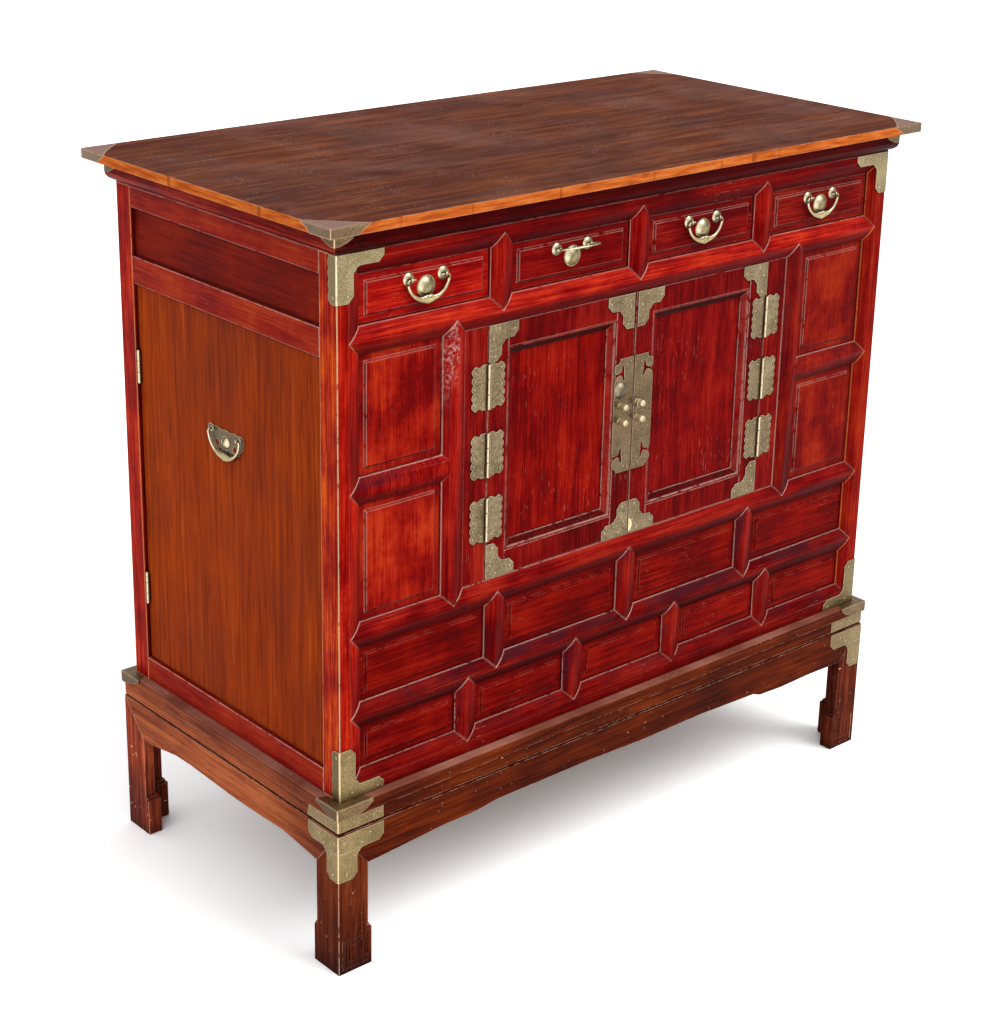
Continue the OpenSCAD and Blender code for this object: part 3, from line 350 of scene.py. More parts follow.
def timber(name, grain, stops, side=None, mitred=None, streak_share=0.6, chips=0.0, edge=rgb(196, 150, 130),
           specular=0.02, width=150, grime=0.8, gaps=0.9, rim=0.0014, dusty=False, dark_corner=0.0,
           worn=0.8):
    """Stained wood with its grain along one axis, painted shade in hollows and gaps, rubbed arrises and pale
    chips.
    """
    look = Look(name, Specular_IOR_Level=specular)
    if mitred:
        look.turn_at_mitres(mitred)
    streaks = look.fibres(grain, width, 7, 6, 0.65, 0.8)
    look.clouds = look.noise(9, 3, 0.55)
    shade = look.calc("ADD", look.times(streaks, streak_share), look.times(look.clouds, 1 - streak_share))
    look.colour = look.ramp(shade, stops)
    if side:
        look.tint(look.ramp(shade, side), look.remap(look.facing("X"), 0.6, 0.8))
    look.pores = look.fibres(grain, 1100, 60, 3, 0.6)
    darkest = stops[0][1]
    look.tint(dimmed(darkest, 0.55, 0.5, 0.6), look.remap(look.pores, 0.56, 0.70, 0.0, 0.5))
    # painted shade in hollows
    far = look.open_air(0.03)
    look.tint(dimmed(darkest, 0.5, 0.4, 0.5), look.remap(far, 0.95, 0.5, 0.0, grime))
    # painted shade in narrow gaps
    near = look.open_air(0.005)
    look.tint(rgb(40, 16, 12), look.remap(near, 0.85, 0.45, 0.0, gaps))
    if dusty:
        upward = look.remap(look.facing("Z"), 0.75, 0.95)
        dust = look.ramp(look.clouds, tones((0.4, 0.6), (132, 76, 60), (172, 116, 98)))
        look.tint(dust, upward, 0.85)
        # a darker band towards the top of the end faces, away from the upward faces
        under = look.remap(look.spot("Z"), CORNER.z - 0.022, CORNER.z - 0.004)
        under = look.times(under, look.remap(look.facing("X"), 0.3, 0.6), look.unless(upward))
        look.tint(rgb(90, 42, 34), under, 0.45)
    if dark_corner:
        near_front = look.remap(look.spot("Y"), CORNER.y + 0.16, CORNER.y)
        corner = look.times(near_front, look.remap(look.facing("X"), 0.3, 0.6))
        look.tint(rgb(72, 26, 14), corner, dark_corner)
    arris = look.times(look.edges(rim, 0.997, 0.93), look.remap(near, 0.6, 0.8))
    look.tint(edge, arris, look.patches(0.42, 0.56, 60, 5, 0.75), worn)
    if chips:
        chipped = look.patches(0.72 - chips, 0.735 - chips, 170, 3, 0.6)
        look.tint(rgb(222, 176, 142), chipped, look.patches(0.45, 0.6, 20, 2, 0.5))
    return look


def wood(*given, **more):
    """A finished timber look."""
    return timber(*given, **more).finish_grain(0.4, 0.58, 0.2)


def top_veneer():
    """The top: figured veneer with dust and scratches, and a lighter lipping round its edge."""
    stops = tones((0.36, 0.46, 0.54, 0.66), (66, 31, 23), (83, 42, 30), (98, 53, 35), (124, 68, 39))
    look = timber("top_veneer", 0, stops, streak_share=0.7, specular=0.005, width=70, grime=0.2)
    look.tint(rgb(134, 100, 92), look.patches(0.50, 0.72, 5, 4, 0.65, 0.5), 0.3)
    dust = look.times(look.patches(0.66, 0.70, 650, 2, 0.5), look.patches(0.48, 0.62, 14, 3, 0.6))
    look.tint(rgb(206, 184, 176), dust, 0.65)
    across = {"Vector": look.place, "Rotation": (0, 0, 0.35), "Scale": (7, 520, 7)}
    scratch = look.patches(0.70, 0.73, 1, 2, 0.5, 0.0, look.add("Mapping", across).outputs[0])
    look.tint(rgb(196, 134, 92), scratch, 0.45)
    lengthwise = look.fibres(0, 200, 22, 4, 0.6, 0.3)
    endwise = look.fibres(1, 200, 22, 4, 0.6, 0.3)
    at_end = look.remap(look.facing("X"), 0.6, 0.8)
    streaks = look.calc("ADD", look.times(lengthwise, look.unless(at_end)), look.times(endwise, at_end))
    edge = look.ramp(streaks, tones((0.36, 0.5, 0.64), (182, 82, 32), (214, 107, 43), (230, 130, 60)))
    marks = look.remap(look.fibres(2, 40, 3, 4, 0.7), 0.63, 0.68)
    edge = look.mix(look.times(marks, 0.55), edge, rgb(122, 48, 22))
    arris = look.times(look.edges(0.0022, 0.998, 0.95), look.patches(0.4, 0.55, 50, 4, 0.7), 0.7)
    edge = look.mix(arris, edge, rgb(238, 166, 116))
    look.tint(edge, look.remap(look.facing("Z"), 0.5, 0.4))
    return look.finish_grain(0.45, 0.65, 0.15)


def brass(name, stops, roughness, polished, tarnish=rgb(92, 68, 42), tarnished=0.3, top=None, metallic=0.8,
          relief=0.6, side_dark=0.8, rim=0.001):
    """Aged brass: finely stippled, dark in its hollows, with painted highlights along its folds and edges
    and painted shade and highlight on its curved parts.
    """
    look = Look(name, Metallic=metallic)
    stipple = look.noise(560, 4, 0.7)
    wide = look.noise(26, 4, 0.6)
    shade = look.calc("ADD", look.times(stipple, 0.7), look.times(wide, 0.3))
    darkest = stops[0][1]
    look.colour = look.ramp(shade, stops)
    look.tint(dimmed(darkest, 0.95, 0.95, 0.85), look.facing("X"), side_dark)
    if top:
        look.tint(top, look.remap(look.facing("Z"), 0.7, 0.9, 0.0, 0.9))
    look.tint(tarnish, look.patches(0.54, 0.68, 45, 5, 0.7), tarnished)
    # painted shade on curved parts where they turn down or to the right, and a painted highlight where they
    # turn up or to the left
    tilt = look.tilt()
    curved = look.remap(look.facing("Y"), 0.1, 0.3)
    look.tint(dimmed(darkest, 0.4, 0.4, 0.4), look.remap(tilt, -0.1, -0.6), curved, relief)
    look.tint(polished, look.remap(tilt, 0.2, 0.6), curved, relief)
    near = look.open_air(0.003)
    look.tint(rgb(36, 24, 14), look.remap(near, 0.93, 0.45, 0.0, 0.9))
    # painted highlights: a bright line along the folds, and bright edges, partly rubbed wear, brightest
    # where they turn up or to the left
    fold = look.remap(look.times(look.facing("X"), look.facing("Y")), 0.34, 0.47)
    fold = look.times(fold, look.remap(look.noise(110, 4, 0.7), 0.34, 0.5, 0.35, 1.0))
    bright = look.times(look.edges(rim, 0.998, 0.88), look.remap(near, 0.3, 0.6),
                        look.remap(tilt, -0.3, 0.3, 0.3, 1.0))
    look.tint(polished, look.calc("MAXIMUM", bright, fold), 0.9)
    rough = look.remap(stipple, 0.3, 0.7, roughness - 0.08, roughness + 0.08)
    return look.finish(rough, stipple, 0.5, 0.0004)


# aged sheet brass, then the rounder cast pieces
SHEET = (0.38, 0.46, 0.54, 0.64)
CAST = (0.38, 0.5, 0.62)
pale = brass("pale_brass", tones(SHEET, (98, 85, 55), (131, 116, 81), (154, 139, 101), (184, 170, 132)),
             0.4, rgb(240, 224, 186))
DEEP = tones(SHEET, (86, 70, 41), (114, 96, 60), (134, 115, 76), (164, 145, 101))
deep = brass("deep_brass", DEEP, 0.4, rgb(232, 206, 158))
strap = brass("strap_brass", DEEP, 0.4, rgb(232, 206, 158), side_dark=0.15)
aged = brass("aged_brass", tones(SHEET, (76, 62, 42), (106, 90, 64), (128, 112, 82), (162, 146, 112)),
             0.4, rgb(240, 218, 180))
lock = brass("lock_brass", tones(SHEET, (64, 50, 32), (89, 73, 49), (111, 93, 65), (144, 123, 90)),
             0.4, rgb(238, 200, 172))
brown = brass("brown_brass", tones(SHEET, (74, 54, 34), (98, 76, 48), (122, 98, 66), (152, 128, 92)),
              0.45, rgb(226, 196, 152))
dull = brass("dull_brass", tones(SHEET, (82, 60, 36), (106, 82, 52), (128, 102, 68), (158, 130, 92)),
             0.5, rgb(238, 184, 152), top=rgb(112, 70, 54), metallic=0.3, side_dark=0.25, rim=0.002)
worn = brass("worn_brass", tones(CAST, (122, 104, 66), (172, 154, 108), (214, 198, 152)),
             0.28, rgb(246, 236, 202), side_dark=0.2)
olive = brass("olive_brass", tones(CAST, (92, 80, 50), (136, 122, 82), (182, 168, 124)),
              0.32, rgb(224, 212, 176), tarnish=rgb(74, 58, 34), tarnished=0.45, relief=0.8)
silvery = brass("silvery_brass", tones(CAST, (70, 61, 44), (98, 88, 66), (130, 118, 92)),
                0.42, rgb(160, 148, 120), tarnish=rgb(72, 60, 42), tarnished=0.4, relief=0.75)
peg_brass = brass("peg_brass", tones(CAST, (140, 116, 76), (190, 166, 118), (220, 200, 156)),
                  0.35, rgb(244, 228, 190), metallic=0.3, side_dark=0.1)
bare = brass("bare_brass", tones((0.4, 0.5, 0.6), (206, 160, 92), (244, 212, 150), (255, 238, 196)),
             0.4, rgb(255, 244, 214), tarnish=rgb(112, 74, 20), tarnished=0.8, metallic=0.4)


# shapes


def curve_between(start, end, bulge, count=6):
    """Points after start up to end on an arc that bulges by that much to the left of the way."""
    start, end = Vector(start), Vector(end)
    along = end - start
    left = Vector((-along.y, along.x)).normalized()
    points = []
    for step in range(1, count + 1):
        share = step / count
        points.append(tuple(start + along * share + left * bulge * 4 * share * (1 - share)))
    return points


def lobes(start, end, count, bulge):
    """An edge of equal lobes from start to end."""
    start, end = Vector(start), Vector(end)
    points = []
    for k in range(count):
        points += curve_between(start.lerp(end, k / count), start.lerp(end, (k + 1) / count), bulge)
    return points


def angle_outline(a, b, wa, wb):
    """An angle plate from its corner: arms a and b long, wa and wb wide, corners cut in small steps."""
    q = STEP
    return [
        (0, 0), (a, 0), (a, wa - 1.6 * q), (a - 0.25 * q, wa - 1.5 * q), (a - 0.9 * q, wa - 0.9 * q),
        (a - 1.5 * q, wa - 0.2 * q), (a - 1.7 * q, wa), (wb + 2.2 * q, wa), (wb + 1.1 * q, wa + 0.5 * q),
        (wb + 0.9 * q, wa + 1.1 * q), (wb + 0.3 * q, wa + 1.5 * q), (wb, wa + 2.2 * q), (wb, b - 1.7 * q),
        (wb - 0.25 * q, b - 1.6 * q), (wb - 0.9 * q, b - 0.9 * q), (wb - 1.5 * q, b - 0.2 * q),
        (wb - 1.7 * q, b), (0, b)
    ]


class Piece:
    """Solids gathered into one mesh, given in the case's own frame."""

    def __init__(self):
        self.shape = bmesh.new()

    def put(self, points, faces):
        made = [self.shape.verts.new(point) for point in points]
        for face in faces:
            self.shape.faces.new([made[k] for k in face])

    def plate(self, outline, thick, spot, holes=(), cuts=()):
        """A flat plate. spot turns (along, up, out) into a place; cuts are the lines where it may bend."""
        curve = bpy.data.curves.new("outline", "CURVE")
        curve.dimensions = "2D"
        curve.fill_mode = "BOTH"
        curve.extrude = thick / 2
        for ring in (outline, *holes):
            spline = curve.splines.new("POLY")
            spline.points.add(len(ring) - 1)
            for point, (u, v) in zip(spline.points, ring):
                point.co = (u, v, 0, 1)
            spline.use_cyclic_u = True
        holder = bpy.data.objects.new("outline", curve)
        mesh = bpy.data.meshes.new_from_object(holder)
        flat = bmesh.new()
        flat.from_mesh(mesh)
        bmesh.ops.remove_doubles(flat, verts=flat.verts, dist=0.001)
        bmesh.ops.dissolve_limit(flat, angle_limit=radians(1), verts=flat.verts, edges=flat.edges)
        for cut in cuts:
            bmesh.ops.bisect_plane(flat, geom=flat.verts[:] + flat.edges[:] + flat.faces[:],
                                   plane_co=(cut, 0, 0), plane_no=(1, 0, 0))
        flat.verts.ensure_lookup_table()
        numbers = {vertex: k for k, vertex in enumerate(flat.verts)}
        points = [spot(vertex.co.x, vertex.co.y, vertex.co.z + thick / 2) for vertex in flat.verts]
        self.put(points, [[numbers[vertex] for vertex in face.verts] for face in flat.faces])
        flat.free()
        bpy.data.objects.remove(holder)
        bpy.data.curves.remove(curve)
        bpy.data.meshes.remove(mesh)

    def folded(self, front, side, thick, corner, turn=1.2):
        """A plate wrapped round an upright corner: its outline is front (x, z), then side (y, z) points."""
        length = pi / 2 * (turn + thick / 2)

        def spot(u, v, w):
            share = (turn - u) / length
            if share <= 0:
                x, y = u, -w
            elif share >= 1:
                x, y = -w, turn + (share - 1) * length
            else:
                x = turn - (turn + w) * sin(share * pi / 2)
                y = turn - (turn + w) * cos(share * pi / 2)
            return corner[0] + x, corner[1] + y, corner[2] + v

        outline = list(front) + [(2 * turn - length - y, z) for y, z in side]
        self.plate(outline, thick, spot, cuts=[turn - length * k / 4 for k in range(5)])

    def lathe(self, profile, at, way, turns=20):
        """A turned solid: the profile is (radius, height) pairs along the way from at."""
        way = Vector(way).normalized()
        side = way.orthogonal().normalized()
        other = way.cross(side)
        at = Vector(at)
        points, rings = [], []
        for radius, height in profile:
            if radius == 0:
                rings.append([len(points)])
                points.append(at + way * height)
                continue
            rings.append(list(range(len(points), len(points) + turns)))
            for k in range(turns):
                angle = 2 * pi * k / turns
                points.append(at + way * height + side * radius * cos(angle) + other * radius * sin(angle))
        faces = []
        for low, high in zip(rings, rings[1:]):
            for k in range(turns):
                n = (k + 1) % turns
                if len(low) == 1:
                    faces.append([low[0], high[n], high[k]])
                elif len(high) == 1:
                    faces.append([low[k], low[n], high[0]])
                else:
                    faces.append([low[k], low[n], high[n], high[k]])
        for ring in (rings[0], rings[-1]):
            if len(ring) > 1:
                faces.append(ring)
        self.put(points, faces)

    def sweep(self, stations, sides=14, closed=False):
        """A bent rod: each station is (middle, one half width as a vector, the other as a vector)."""
        points, faces = [], []
        for middle, across, through in stations:
            for j in range(sides):
                angle = 2 * pi * j / sides
                points.append(Vector(middle) + Vector(across) * cos(angle) + Vector(through) * sin(angle))
        for k in range(len(stations) - (0 if closed else 1)):
            a, b = k * sides, (k + 1) % len(stations) * sides
            for j in range(sides):
                n = (j + 1) % sides
                faces.append([a + j, a + n, b + n, b + j])
        if not closed:
            faces.append(list(range(sides)))
            faces.append(list(range(len(points) - sides, len(points))))
        self.put(points, faces)

    def ring(self, at, way, radius, wire, width, turns=20):
        """A closed ring about the way."""
        way = Vector(way).normalized()
        side = way.orthogonal().normalized()
        other = way.cross(side)
        stations = []
        for k in range(turns):
            out = side * cos(2 * pi * k / turns) + other * sin(2 * pi * k / turns)
            stations.append((Vector(at) + out * radius, out * wire, way * width))
        self.sweep(stations, 10, closed=True)

    def mirror(self, axis, middle, keep=True):
        """Adds the mirror image about a plane, or turns the piece into it."""
        vertices = self.shape.verts[:]
        if keep:
            parts = self.shape.verts[:] + self.shape.edges[:] + self.shape.faces[:]
            made = bmesh.ops.duplicate(self.shape, geom=parts)["geom"]
            vertices = [part for part in made if isinstance(part, bmesh.types.BMVert)]
        for vertex in vertices:
            vertex.co[axis] = 2 * middle - vertex.co[axis]

    def nail(self, at, way, radius):
        self.lathe([(radius, -0.3), (radius, 0.3), (radius * 0.7, 0.7), (0, 0.9)], at, way, 12)

    def boss(self, radius, height, at, way, turns=28):
        ball = (radius * radius + height * height) / (2 * height)
        profile = [(radius, -0.2)]
        for k in range(8):
            level = height * (1 - (1 - k / 8) ** 1.5)
            profile.append((sqrt(max(ball ** 2 - (ball - height + level) ** 2, 0)), level))
        self.lathe(profile + [(0, height)], at, way, turns)

    def finish(self, name, body, material, replaced, arris=0.25, slot="aged_brass"):
        """Makes the gathered solids into a piece that rides on a body in place of CAD nodes."""
        bmesh.ops.recalc_face_normals(self.shape, faces=self.shape.faces)
        for vertex in self.shape.verts:
            vertex.co = CORNER + MM * vertex.co
        mesh = bpy.data.meshes.new(name)
        self.shape.to_mesh(mesh)
        self.shape.free()
        mesh.shade_smooth()
        mesh.set_sharp_from_angle(angle=radians(35))
        mesh.materials.append(material)
        piece = placed(name, mesh)
        if arris:
            round_arrises(piece, arris * MM, 40)
        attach(piece, body)
        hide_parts(*replaced)


def round_arrises(thing, width, angle):
    """Rounds the edges that turn by more than an angle in degrees."""
    bevel = thing.modifiers.new("round", "BEVEL")
    bevel.width = width
    bevel.segments = 2
    bevel.limit_method = "ANGLE"
    bevel.angle_limit = radians(angle)
    bevel.harden_normals = True


def wear_in(node, width, material):
    """Welds a CAD node, rounds its arrises and gives it its material."""
    weld = node.modifiers.new("weld", "WELD")
    weld.merge_threshold = 0.00002
    round_arrises(node, width, 28)
    node.data.materials.clear()
    node.data.materials.append(material)


FRONT = (0, -1, 0)
END = (-1, 0, 0)


def case_corner(name, material, outline, level, up, nails):
    """The plates on the upper or lower front corners of the case, folded onto its ends."""
    piece = Piece()
    tall = outline[-1][1]
    front = [(x, z * up) for x, z in outline[1:-1]]
    edge = [(7, tall), (11.5, tall - 2)] + lobes((11.9, tall - 2.5), (12.2, 2.5), 4, 2.2) + [(12.2, 0)]
    side = [(y, z * up) for y, z in edge]
    piece.folded(front, side, PLATE_T, (0, 0, level))
    for x, z in nails:
        piece.nail((x, -PLATE_T, level + up * z), FRONT, 1.3)
    piece.nail((-PLATE_T, 5.5, level + up * (tall - 8)), END, 1.2)
    piece.mirror(0, CASE_W / 2)
    piece.finish(name, "case", material, ["case_corner_plates"])


def stand_brass():
    """Caps on the corners of the ledge, and straps round the front corners of the stand."""
    piece = Piece()
    o = LEDGE_OUT
    front = [(51, 0), (51, -3), (42, -9.8), (29, -14), (1.2, -14)]
    side = [(0, -14), (7, -13), (21, -10.6), (41, -3), (41, 0), (1.2, 0)]
    piece.folded(front, side, THIN_T, (-o, -o, 0))
    top = [(0, 0), (51, 0), (45, o - 1.4), (o - 1.4, o - 1.4), (o - 1.4, 35), (0, 41)]
    piece.plate(top, THIN_T, lambda u, v, w: (u - o, v - o, w - 0.02))
    piece.mirror(1, CASE_D / 2)
    straps = Piece()
    high, low = -LEDGE_H - 2, STAND_TOP + 3
    f = o - 3
    straps.folded([(54.3 + f, high), (54.3 + f, low)], [(48 + f, low), (45 + f, high)], THIN_T, (-f, -f, 0))
    for k in range(9):
        x = 12 + 4.6 * k
        at = (x, -f - THIN_T, (high + low) / 2 + (k % 2) * 3)
        straps.lathe([(0.5, -0.2), (0.4, 0.25), (0, 0.3)], at, FRONT, 8)
    s = STAND_OUT
    outer = [(x, -z) for x, z in angle_outline(66, 61, 23, 27)[1:-1]]
    inner = [(y, -z) for y, z in angle_outline(57.5, 60, 21, 21.5)[1:-1]]
    straps.folded(outer, inner[::-1], THIN_T, (-s, -s, STAND_TOP - 2))
    for x, z in ((46, -8), (12, -52), (8, -10), (34, -17)):
        straps.nail((x - s, -s - THIN_T, STAND_TOP - 2 + z), FRONT, 1.2)
        straps.nail((-s - THIN_T, x * 0.8 - s, STAND_TOP - 2 + z), END, 1.2)
    for part in (piece, straps):
        part.mirror(0, CASE_W / 2)
    piece.finish("ledge_brass", "case", brown, ["stand_brass"], 0.15)
    straps.finish("strap_brass", "case", strap, ["stand_brass"], 0.2)


HIGH = angle_outline(63, 54.5, 14.5, 21.8)
LOW = angle_outline(63, 64.5, 16, 21.8)
case_corner("case_top_brass", pale, HIGH, CASE_H - 0.3, -1, ((53.7, 4), (17, 9), (14, 47)))
case_corner("case_low_brass", deep, LOW, 0.3, 1, ((53.7, 5), (17, 8), (13, 55)))
stand_brass()


def top_brass():
    """Caps let into the corners of the top board, and small shields on the corners of the moulding."""
    piece = Piece()
    o = -BOARD_LOW.x
    low, high = BOARD_LOW.z, BOARD_HIGH.z
    edge = [(52, high), (52, high - 2), (42, low + 5), (36, low)]
    piece.folded(edge, [(y, z) for y, z in edge[::-1]], THIN_T, (-o + THIN_T, -o + THIN_T, 0), 0.1)
    top = [(0, 0), (52, 0), (36, 13), (13, 36), (0, 52)]
    piece.plate(top, THIN_T, lambda u, v, w: (u - o, v - o, high - THIN_T + w))
    c = LIP_OUT
    shield = [(26, low), (24, low - 8), (15, low - 12.5), (8, low - 14.6), (1.2, low - 15.4)]
    shields = Piece()
    shields.folded(shield, shield[::-1], THIN_T, (-c, -c, 0))
    for part in (piece, shields):
        part.mirror(1, CASE_D / 2)
        part.mirror(0, CASE_W / 2)
    piece.finish("top_corner_brass", "case", dull, ["top_brass"], 0.15)
    shields.finish("moulding_shields", "case", brown, ["top_brass"], 0.15)


def hinge_outline():
    """Half a front hinge, from its barrel outward."""
    tall = HINGE_TALL / 2
    upper = [(2.9, tall), (9.5, tall), (12.2, tall - 2.4), (15.5, tall - 2.2), (19, tall), (22, tall - 1.8)]
    return upper + lobes((22.4, tall - 2), (22.4, 2 - tall), 5, 2.8) + [(x, -z) for x, z in upper[::-1]]


def hinge_leaves(piece, way):
    """The three leaves on one side of the barrels, with their knuckles."""
    axis = pivots["left_door_hinge"]
    knuckle = HINGE_TALL / 3
    for z in HINGE_ZS:
        piece.plate(hinge_outline(), PLATE_T, lambda u, v, w: (axis.x + way * u, DOOR_Y - w, z + v))
        spans = [(-0.5, -1 / 6), (1 / 6, 0.5)] if way < 0 else [(-1 / 6, 1 / 6)]
        for low, high in spans:
            a = low * HINGE_TALL + (0.15 if low > -0.4 else 0)
            b = high * HINGE_TALL - (0.15 if high < 0.4 else 0)
            piece.lathe([(2.1, a), (BARREL_R, a + 0.5), (BARREL_R, b - 0.5), (2.1, b)],
                        (axis.x, axis.y, z), (0, 0, 1))
            tongue = [(1.5, a + 0.4), (4.5, a + 0.4), (4.5, b - 0.4), (1.5, b - 0.4)]
            piece.plate(tongue, PLATE_T - 0.3, lambda u, v, w: (axis.x + way * u, DOOR_Y - 0.3 - w, z + v))
        for k in range(5):
            piece.nail((axis.x + way * 20.5, DOOR_Y - PLATE_T, z + (k - 2) * 10.2), FRONT, 0.9)
        for k in (-1, 1):
            piece.nail((axis.x + way * 8, DOOR_Y - PLATE_T, z + k * 20), FRONT, 0.9)


def butt(piece, moving):
    """The small hinges of the left end door, at the rear post."""
    axis = pivots["left_end_door_hinge"]
    post = axis.y + 2.6
    for z in BUTT_ZS:
        third = BUTT_TALL / 3
        middle = [(-third / 2, third / 2)]
        outer = [(-1.5 * third, -third / 2), (third / 2, 1.5 * third)]
        for a, b in middle if moving else outer:
            low, high = a + 0.15, b - 0.15
            piece.lathe([(2.0, low), (2.4, low + 0.5), (2.4, high - 0.5), (2.0, high)],
                        (axis.x, axis.y, z), (0, 0, 1))
            face = post - 1.2 if moving else post
            start = axis.x + 0.8 if moving else axis.x - 1
            leaf = [(start, low), (END_X + 8, low), (END_X + 8, high), (start, high)]
            piece.plate(leaf, 0.9, lambda u, v, w: (u, face - 0.9 + w, z + v))


def fixed_leaves():
    """The leaves of the front and end hinges that stay on the case."""
    piece = Piece()
    hinge_leaves(piece, -1)
    butt(piece, False)
    piece.mirror(0, CASE_W / 2)
    piece.finish("jamb_hinges", "case", aged, ["fixed_hinge_leaves"], 0.2)


def door_brass(side, right):
    """Angle plates and hinge leaves of one front door."""
    piece = Piece()
    outline = angle_outline(44, 44, 18.8, 18.6)
    for x, way in ((DOOR_LOW.x, 1), (DOOR_HIGH.x, -1)):
        for z, up in ((DOOR_LOW.z, 1), (DOOR_HIGH.z, -1)):
            start = x + way * (2.2 if way * up > 0 and up < 0 else 0)
            piece.plate(outline, PLATE_T, lambda u, v, w: (start + way * u, DOOR_Y - w, z + up * v))
            for u, v in ((38.5, 9.3), (15.2, 5.1), (6.4, 16.8), (9.5, 38)):
                piece.nail((start + way * u, DOOR_Y - PLATE_T, z + up * v), FRONT, 1.1)
    hinge_leaves(piece, 1)
    if right:
        piece.mirror(0, CASE_W / 2, keep=False)
    piece.finish(side + "_door_brass", side + "_door", aged, [side + "_door_fittings"], 0.2)


# the lock plates: size, the upper hooked cut from its top, and a peg as (radius, height)
LOCK_W, LOCK_H = 31.5, 148
CUT_DROP = 106.5
PEG_SPAN = 20
SLOT = [(0, 131), (1.5, 129.5), (4, 129), (8, 129.5), (11.5, 131.5), (12.3, 134.5), (13, 137.5), (14.2, 139),
        (15.6, 137.5), (16.3, 133), (16.2, 129), (17, 124), (17.5, 120), (16.3, 118.5), (14.5, 120.5),
        (12.8, 125), (11, 127), (8, 127), (4, 125), (1.5, 122.5), (0, 119)]
PEG = [(4.3, -0.3), (4.2, 0.4), (3.9, 1.0), (3.6, 2.2), (3.5, 6.2), (3.6, 7.1), (4.1, 8), (4.6, 9.6),
       (4.5, 11.2), (3.7, 12.8), (2.3, 13.9), (0, 14.4)]


def lock_plate(side, right):
    """The tall plate beside the meeting line, with two hooked cuts and two pegs."""
    low, high = case_box("left_lock_plate")
    face = DOOR_Y - PLATE_T
    outer = low.x
    z0 = low.z
    above = [(8.5, LOCK_H), (9.2, 144.8), (6.8, 142.6), (3.6, 141.4), (0.4, 141), (0, 140.4)]
    below = [(0.4, 10.8), (1, 9), (2.6, 6.6), (5, 5), (6.5, 3.5), (8.5, 0)]
    outline = [(LOCK_W, 0), (LOCK_W, LOCK_H), *above, *SLOT, *[(u, v - CUT_DROP) for u, v in SLOT], *below]
    plate = Piece()
    plate.plate(outline, PLATE_T, lambda u, v, w: (outer + u, DOOR_Y - w, z0 + v))
    for u, v in ((20, 140), (27.5, 143), (20, 8), (27.5, 6), (27, 76)):
        plate.nail((outer + u, face, z0 + v), FRONT, 0.9)
    pegs = Piece()
    x = outer + (26.4 if right else 10.5)
    upper = z0 + LOCK_H - 60
    for z in (upper, upper - PEG_SPAN):
        pegs.lathe(PEG, (x, face, z), FRONT, 18)
    if right:
        pegs.ring((x, face - 4.5, upper - 1.4), (0.5, 1, 0.15), 5.6, 0.6, 0.6)
        for part in (plate, pegs):
            part.mirror(0, CASE_W / 2, keep=False)
    else:
        dome = Piece()
        dome.boss(10.6, 5.6, (outer + 11, face, z0 + LOCK_H - 40.5), FRONT)
        dome.finish("left_lock_dome", "left_door", silvery, ["left_lock_plate"], 0)
    node = side + "_lock_plate"
    plate.finish(side + "_lock_brass", side + "_door", lock, [node], 0.2)
    pegs.finish(side + "_lock_pegs", side + "_door", peg_brass, [node], 0)


def bright_chip():
    """The bright bare spot on the right door's lower plate, beside the meeting line."""
    chip = Piece()
    outline = [(0.3, 2.6), (3, 3.4), (4.6, 5.6), (6, 9), (6.2, 12), (5, 15.5), (2.8, 18.6), (0.3, 20.4)]
    corner = CASE_W - DOOR_HIGH.x
    face = DOOR_Y - PLATE_T
    chip.plate(outline, 0.25, lambda u, v, w: (corner + u, face - w, DOOR_LOW.z + v))
    chip.finish("bright_chip", "right_door", bare, ["right_door_fittings"], 0, "worn_brass")


top_brass()
fixed_leaves()
bright_chip()
for side, right in (("left", False), ("right", True)):
    door_brass(side, right)
    lock_plate(side, right)


# how far a bail hangs, as a share of its half width
SAG = 0.92


def bail_stations(pivot, along, out, radius, wire, depth, tip, post):
    """A bail hanging from its pivot line: a wire that widens to a crescent, its ends bent into the posts."""
    down = along.cross(out)
    if down.z > 0.3:
        down = -down
    stations = []
    for step in range(-26, 27):
        angle = radians(step * 3)
        keel = exp(-abs(angle) / 0.22)
        thin = wire * (0.8 + 0.2 * exp(-(angle / 0.9) ** 2))
        outer = radius + wire - 1.8 * (1 - keel)
        swell = 0.25 * exp(-(angle / 0.8) ** 2) + 0.75 * exp(-(angle / 0.36) ** 2)
        inner = outer - 2 * thin - swell * (depth - 2 * wire)
        ray = along * sin(angle) + down * cos(angle) * SAG
        middle = pivot + ray * (outer + inner) / 2
        through = thin * (1 - 0.2 * keel)
        stations.append((middle, ray * (outer - inner) / 2, out * through))
    for way in (-1, 1):
        ends = []
        bend = ((radius - 1.2, 2.6, 1.45), (radius - 3, 0.7, 1.4), (post + 3.2, 0.1, 1.3), (post, 0, 1.2),
                (tip + 2, 0, 1.2), (tip + 0.4, 0, 1.1), (tip, 0, 0.6))
        last = stations[-1 if way > 0 else 0][0]
        for s, d, size in bend:
            middle = pivot + along * way * s + down * d
            run = (middle - last).normalized()
            ends.append((middle, run.cross(out) * size * -1, out * size))
            last = middle
        if way > 0:
            stations += ends
        else:
            stations = [(m, -a, t) for m, a, t in ends[::-1]] + stations
    return stations


def handle(piece, centre, along, out, half, rosette, rise, eye):
    """Two rosettes with eyes that carry a bail; centre is on the pivot line."""
    for way in (-1, 1):
        foot = centre + along * way * half - out * rise
        piece.boss(rosette, rosette * 0.4, foot, out, 24)
        piece.lathe([(2.6, 0), (2.2, rise - eye - 0.6), (1.6, rise - 1.9)], foot, out, 14)
        piece.ring(centre + along * way * half, along, 2.25, 0.8, 1.5, 18)


